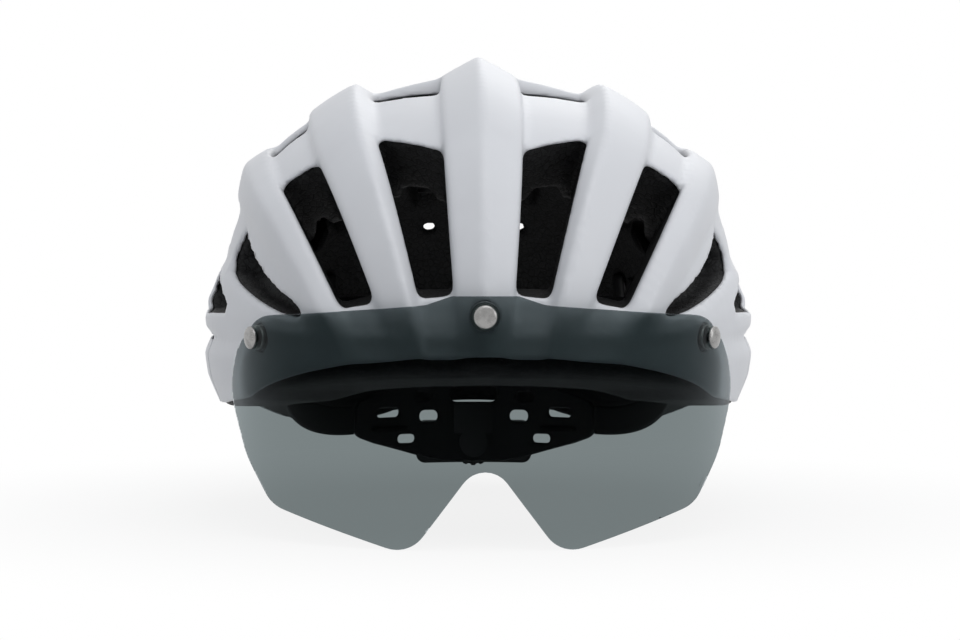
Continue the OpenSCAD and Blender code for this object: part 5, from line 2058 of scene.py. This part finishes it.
@dataclass
class FitSystem:
    """The rear cradle with its bands, hanger and dial.

    The cradle is a plate of an inner radius and half width round an upright axis at axis_y, its
    slots given as (x, z, half width, half height). A band lies band_off from the foam, from the
    temple plug at plug_az and plug_z down to band_end_z at the cradle, whose edge it overlaps by
    the share band_over of its length.
    """

    space: HeadSpace = HEAD_SPACE
    radius: float = 71.5
    thick: float = 2.6
    axis_y: float = 30.0
    half_w: float = 52.0
    top_z: float = -30.0
    low_z: float = -66.0
    dial_z: float = -57.5
    shaft_hole: float = 2.1
    pad_fill: float = 0.6
    band_w: float = 12.0
    band_t: float = 1.6
    band_off: float = 1.4
    band_end_z: float = -46.5
    band_over: float = 0.012
    plug_az: float = 70.0
    plug_z: float = -21.5
    slots: tuple[tuple[float, float, float, float], ...] = (
        (0, -36.6, 10.5, 3.4), (23, -37.4, 3.9, 2.1), (-23, -37.4, 3.9, 2.1), (30, -55.5, 3.8, 1.9),
        (-30, -55.5, 3.8, 1.9), (38, -44, 5, 2), (-38, -44, 5, 2), (20, -46, 4, 2.6),
        (-20, -46, 4, 2.6))

    def outline(self) -> list[Triple]:
        """Corners of the cradle's outline."""
        return mirrored([(12, self.top_z, 3), (38, self.top_z - 4, 8), (self.half_w, -39, 4),
                         (self.half_w, -53.5, 4), (44, -57, 12), (25, self.low_z + 3, 14),
                         (12, self.low_z, 8)])

    def inside(self, a: Values, z: Values, off: Values) -> Points:
        """Points on the cradle's inner face at an angle from the back, moved inwards.

        Args:
            a: Angle from the back, towards +X.
            z: Height.
            off: Distance inwards.

        Returns:
            Points.
        """
        a, z, off = np.broadcast_arrays(*(np.asarray(m, float) for m in (a, z, off)))
        r, turn = self.radius - off, np.radians(a)
        return np.stack([r * np.sin(turn), self.axis_y + r * np.cos(turn), z], axis=-1)

    def band(self, name: str, hand: float) -> Piece:
        """A band from the temple plug along the foam to the cradle's end.

        Args:
            name: The piece's name.
            hand: 1 for the left side, -1 for the right.

        Returns:
            The band.
        """
        end_x = self.half_w + 0.3 + 0.7 * self.band_t
        end_r = self.radius + (self.thick + self.band_t) / 2.0
        end = np.array([end_x, self.axis_y + math.sqrt(end_r * end_r - end_x * end_x), self.band_end_z])
        end_a = math.degrees(math.atan2(end[0], self.space.middle_y - end[1]))
        short = end - self.space.wall(end_a, end[2], self.band_off)
        w = np.linspace(0.0, 1.0 + self.band_over, 90)
        a = lerp(self.plug_az, end_a, w)
        up = lerp(self.plug_z, end[2], ease(w))
        path = self.space.wall(a, up, self.band_off) + (w * w)[:, None] * short
        return ribbon(name, path, self.space.off_wall(a), self.band_w, self.band_t, hand)

    def build(self, shop: Workshop) -> None:
        """Makes the cradle and all that it carries.

        Args:
            shop: Places the pieces.
        """
        holes = [[(u + i * a, v + j * b, b * 0.9) for i, j in ((-1, -1), (1, -1), (1, 1), (-1, 1))]
                 for u, v, a, b in self.slots]
        plate = CurvedPlate(self.outline(), holes, self.radius, self.thick, self.axis_y, False, 0.9,
                            0.4)
        cradle = plate.surface(lambda p: np.hypot(p[:, 0], p[:, 2] - self.dial_z) - self.shaft_hole)
        shop.place(make_object("cradle_plate", *cradle), Body.CRADLE, NYLON, "cradle_plastic", "cradle")
        points, faces, flat = together([
            Cushion(self.inside, span, (-52.0, -49.4), 0.3, 2.2, 0.4, 0.9, sides=72, rings=8)
            for span in ((24.0, 38.0), (-38.0, -24.0))])
        pads = make_object("cradle_pad_strips", points, faces)
        set_uv(pads, flat)
        shop.place(pads, Body.CRADLE, KNIT, "pad_fabric", "cradle_pads")
        for side, hand in SIDES:
            band = shop.place(self.band(f"fit_band_{side}", hand), None, NYLON, "band_plastic",
                              f"band_{side}")
            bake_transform(band)
        hanger = shop.refinish("hanger", 0.35, None, NYLON, "band_plastic")
        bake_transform(hanger)
        for part in (("dial_housing", 0.7, Body.CRADLE, PLASTIC, "black_plastic"),
                     ("pinion_cap", 0.4, Body.CRADLE, PLASTIC, "black_plastic"),
                     ("dial_knob", 0.4, Body.DIAL, RUBBER, "knob_rubber", 24.0),
                     ("pinion", 0.1, Body.DIAL, GEAR, "gear_plastic"),
                     ("dial_screw", 0.12, Body.DIAL, SCREW, "screw_steel"),
                     ("rack_upper", 0.1, Body.RACK_UPPER, GEAR, "gear_plastic"),
                     ("rack_lower", 0.1, Body.RACK_LOWER, GEAR, "gear_plastic")):
            shop.refinish(*part)


@dataclass
class Studio:
    """Floor, lamps, white surroundings and the camera at the photograph's angle.

    The floor lies at the helmet's lowest point. Near the helmet a share of it takes shadow, which
    fades over shadow_reach. The camera looks at a point aside of the origin. The surroundings give
    an even light, and a lamp is given as its name, place, side and power in watts.
    """

    floor_z: float
    azimuth: float = -1.1
    elevation: float = 2.5
    distance: float = 1200.0
    aside: float = 0.84
    lens: float = 112.5
    even_colour: tuple[float, float, float, float] = (0.93, 0.96, 1.0, 1.0)
    even_light: float = 0.48
    floor_half: float = 2600.0
    floor_colour: tuple[float, float, float, float] = (0.66, 0.66, 0.66, 1.0)
    shadow_reach: Pair = (100.0, 300.0)
    shadow_share: float = 0.14
    lamps: tuple[tuple[str, Triple, float, float], ...] = (
        ("lamp_over", (200.0, -620.0, 1200.0), 1000.0, 6.0),
        ("lamp_left", (-1150.0, -500.0, 350.0), 700.0, 0.3),
        ("lamp_right", (1100.0, -650.0, 350.0), 700.0, 2.4),
        ("lamp_behind", (300.0, 1100.0, 800.0), 700.0, 2.6))

    def seen(self, g: Graph) -> Wire:
        """Which rays show the surroundings to the camera.

        Args:
            g: Nodes of a material or of the world.

        Returns:
            1 for rays that reach the camera straight, in gloss or through a sheet.
        """
        camera, glossy, through = (g.add("ShaderNodeLightPath", out=f"Is {kind} Ray")
                                   for kind in ("Camera", "Glossy", "Transmission"))
        return (camera + glossy + through).maths("MINIMUM", 1.0)

    def world(self) -> None:
        """White where it is seen, an even pale light elsewhere."""
        g = Graph(bpy.data.worlds.new("surroundings"))
        even = g.add("ShaderNodeBackground", {}, {"Color": self.even_colour,
                                                  "Strength": self.even_light})
        shown = g.add("ShaderNodeBackground", {}, {"Color": WHITE, "Strength": 1.0})
        bpy.context.scene.world = g.show(
            g.add("ShaderNodeMixShader", {}, {0: self.seen(g), 1: even, 2: shown}))

    def floor(self) -> None:
        """A wide pale floor that keeps the helmet's shadow, the less of it the further off."""
        corners = np.array([[x, y, self.floor_z] for x, y in ((-1, -1), (1, -1), (1, 1), (-1, 1))])
        corners[:, :2] *= self.floor_half
        plane = make_object("floor", corners, np.array([[0, 1, 2, 3]]))
        g = Graph(bpy.data.materials.new("floor_pale"))
        matt = g.add("ShaderNodeBsdfDiffuse", {}, {"Color": self.floor_colour})
        bright = g.add("ShaderNodeEmission", {}, {"Color": WHITE, "Strength": 1.0})
        away = g.add("ShaderNodeVectorMath", {"operation": "LENGTH"}, {0: g.object_place()}, "Value")
        near, far = (reach * MM for reach in self.shadow_reach)
        share = away.step_up(near, far) * self.shadow_share + (1.0 - self.shadow_share)
        plane.data.materials.append(g.show(
            g.add("ShaderNodeMixShader", {}, {0: self.seen(g) * share, 1: matt, 2: bright})))
        plane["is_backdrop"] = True

    def light(self) -> None:
        """Square soft lamps that face the helmet."""
        for name, place, size, power in self.lamps:
            data = bpy.data.lights.new(name, "AREA")
            data.shape, data.size, data.energy = "SQUARE", size * MM, power
            made = in_scene(name, data)
            made.location = Vector(place) * MM
            made.rotation_euler = (-Vector(place)).to_track_quat("-Z", "Y").to_euler()

    def camera(self) -> None:
        """The camera, which looks at a point close to the origin."""
        a, e = math.radians(self.azimuth), math.radians(self.elevation)
        back = Vector((math.sin(a) * math.cos(e), -math.cos(a) * math.cos(e), math.sin(e)))
        side = Vector((math.cos(a), math.sin(a), 0.0))
        target = side * self.aside * MM
        data = bpy.data.cameras.new("photo_camera")
        data.lens, data.sensor_width = self.lens, 36.0
        data.clip_start, data.clip_end = 0.05, 20.0
        made = in_scene("photo_camera", data)
        made.location = target + back * self.distance * MM
        made.rotation_euler = back.to_track_quat("Z", "Y").to_euler()
        bpy.context.scene.camera = made

    def build(self) -> None:
        """Sets up the whole studio."""
        self.world()
        self.floor()
        self.light()
        self.camera()
        bpy.context.scene.view_settings.view_transform = "Standard"


def main() -> dict[str, list[list[float]]]:
    """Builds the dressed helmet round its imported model.

    Returns:
        The CAD model's box and the dressed model's box.
    """
    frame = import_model()
    boxes = {"cad": [list(corner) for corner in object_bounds()]}
    shop = Workshop(frame["nodes"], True)
    for part in (HelmetSkin(), Visor(), Lining(), Straps(), FitSystem()):
        log.info("building %s", type(part).__name__)
        part.build(shop)
    boxes["visual"] = [list(corner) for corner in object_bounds()]
    Studio(boxes["visual"][0][2] / MM).build()
    return boxes


if __name__ == "__main__":
    logging.basicConfig(level=logging.INFO, format="%(message)s")
    sizes = main()
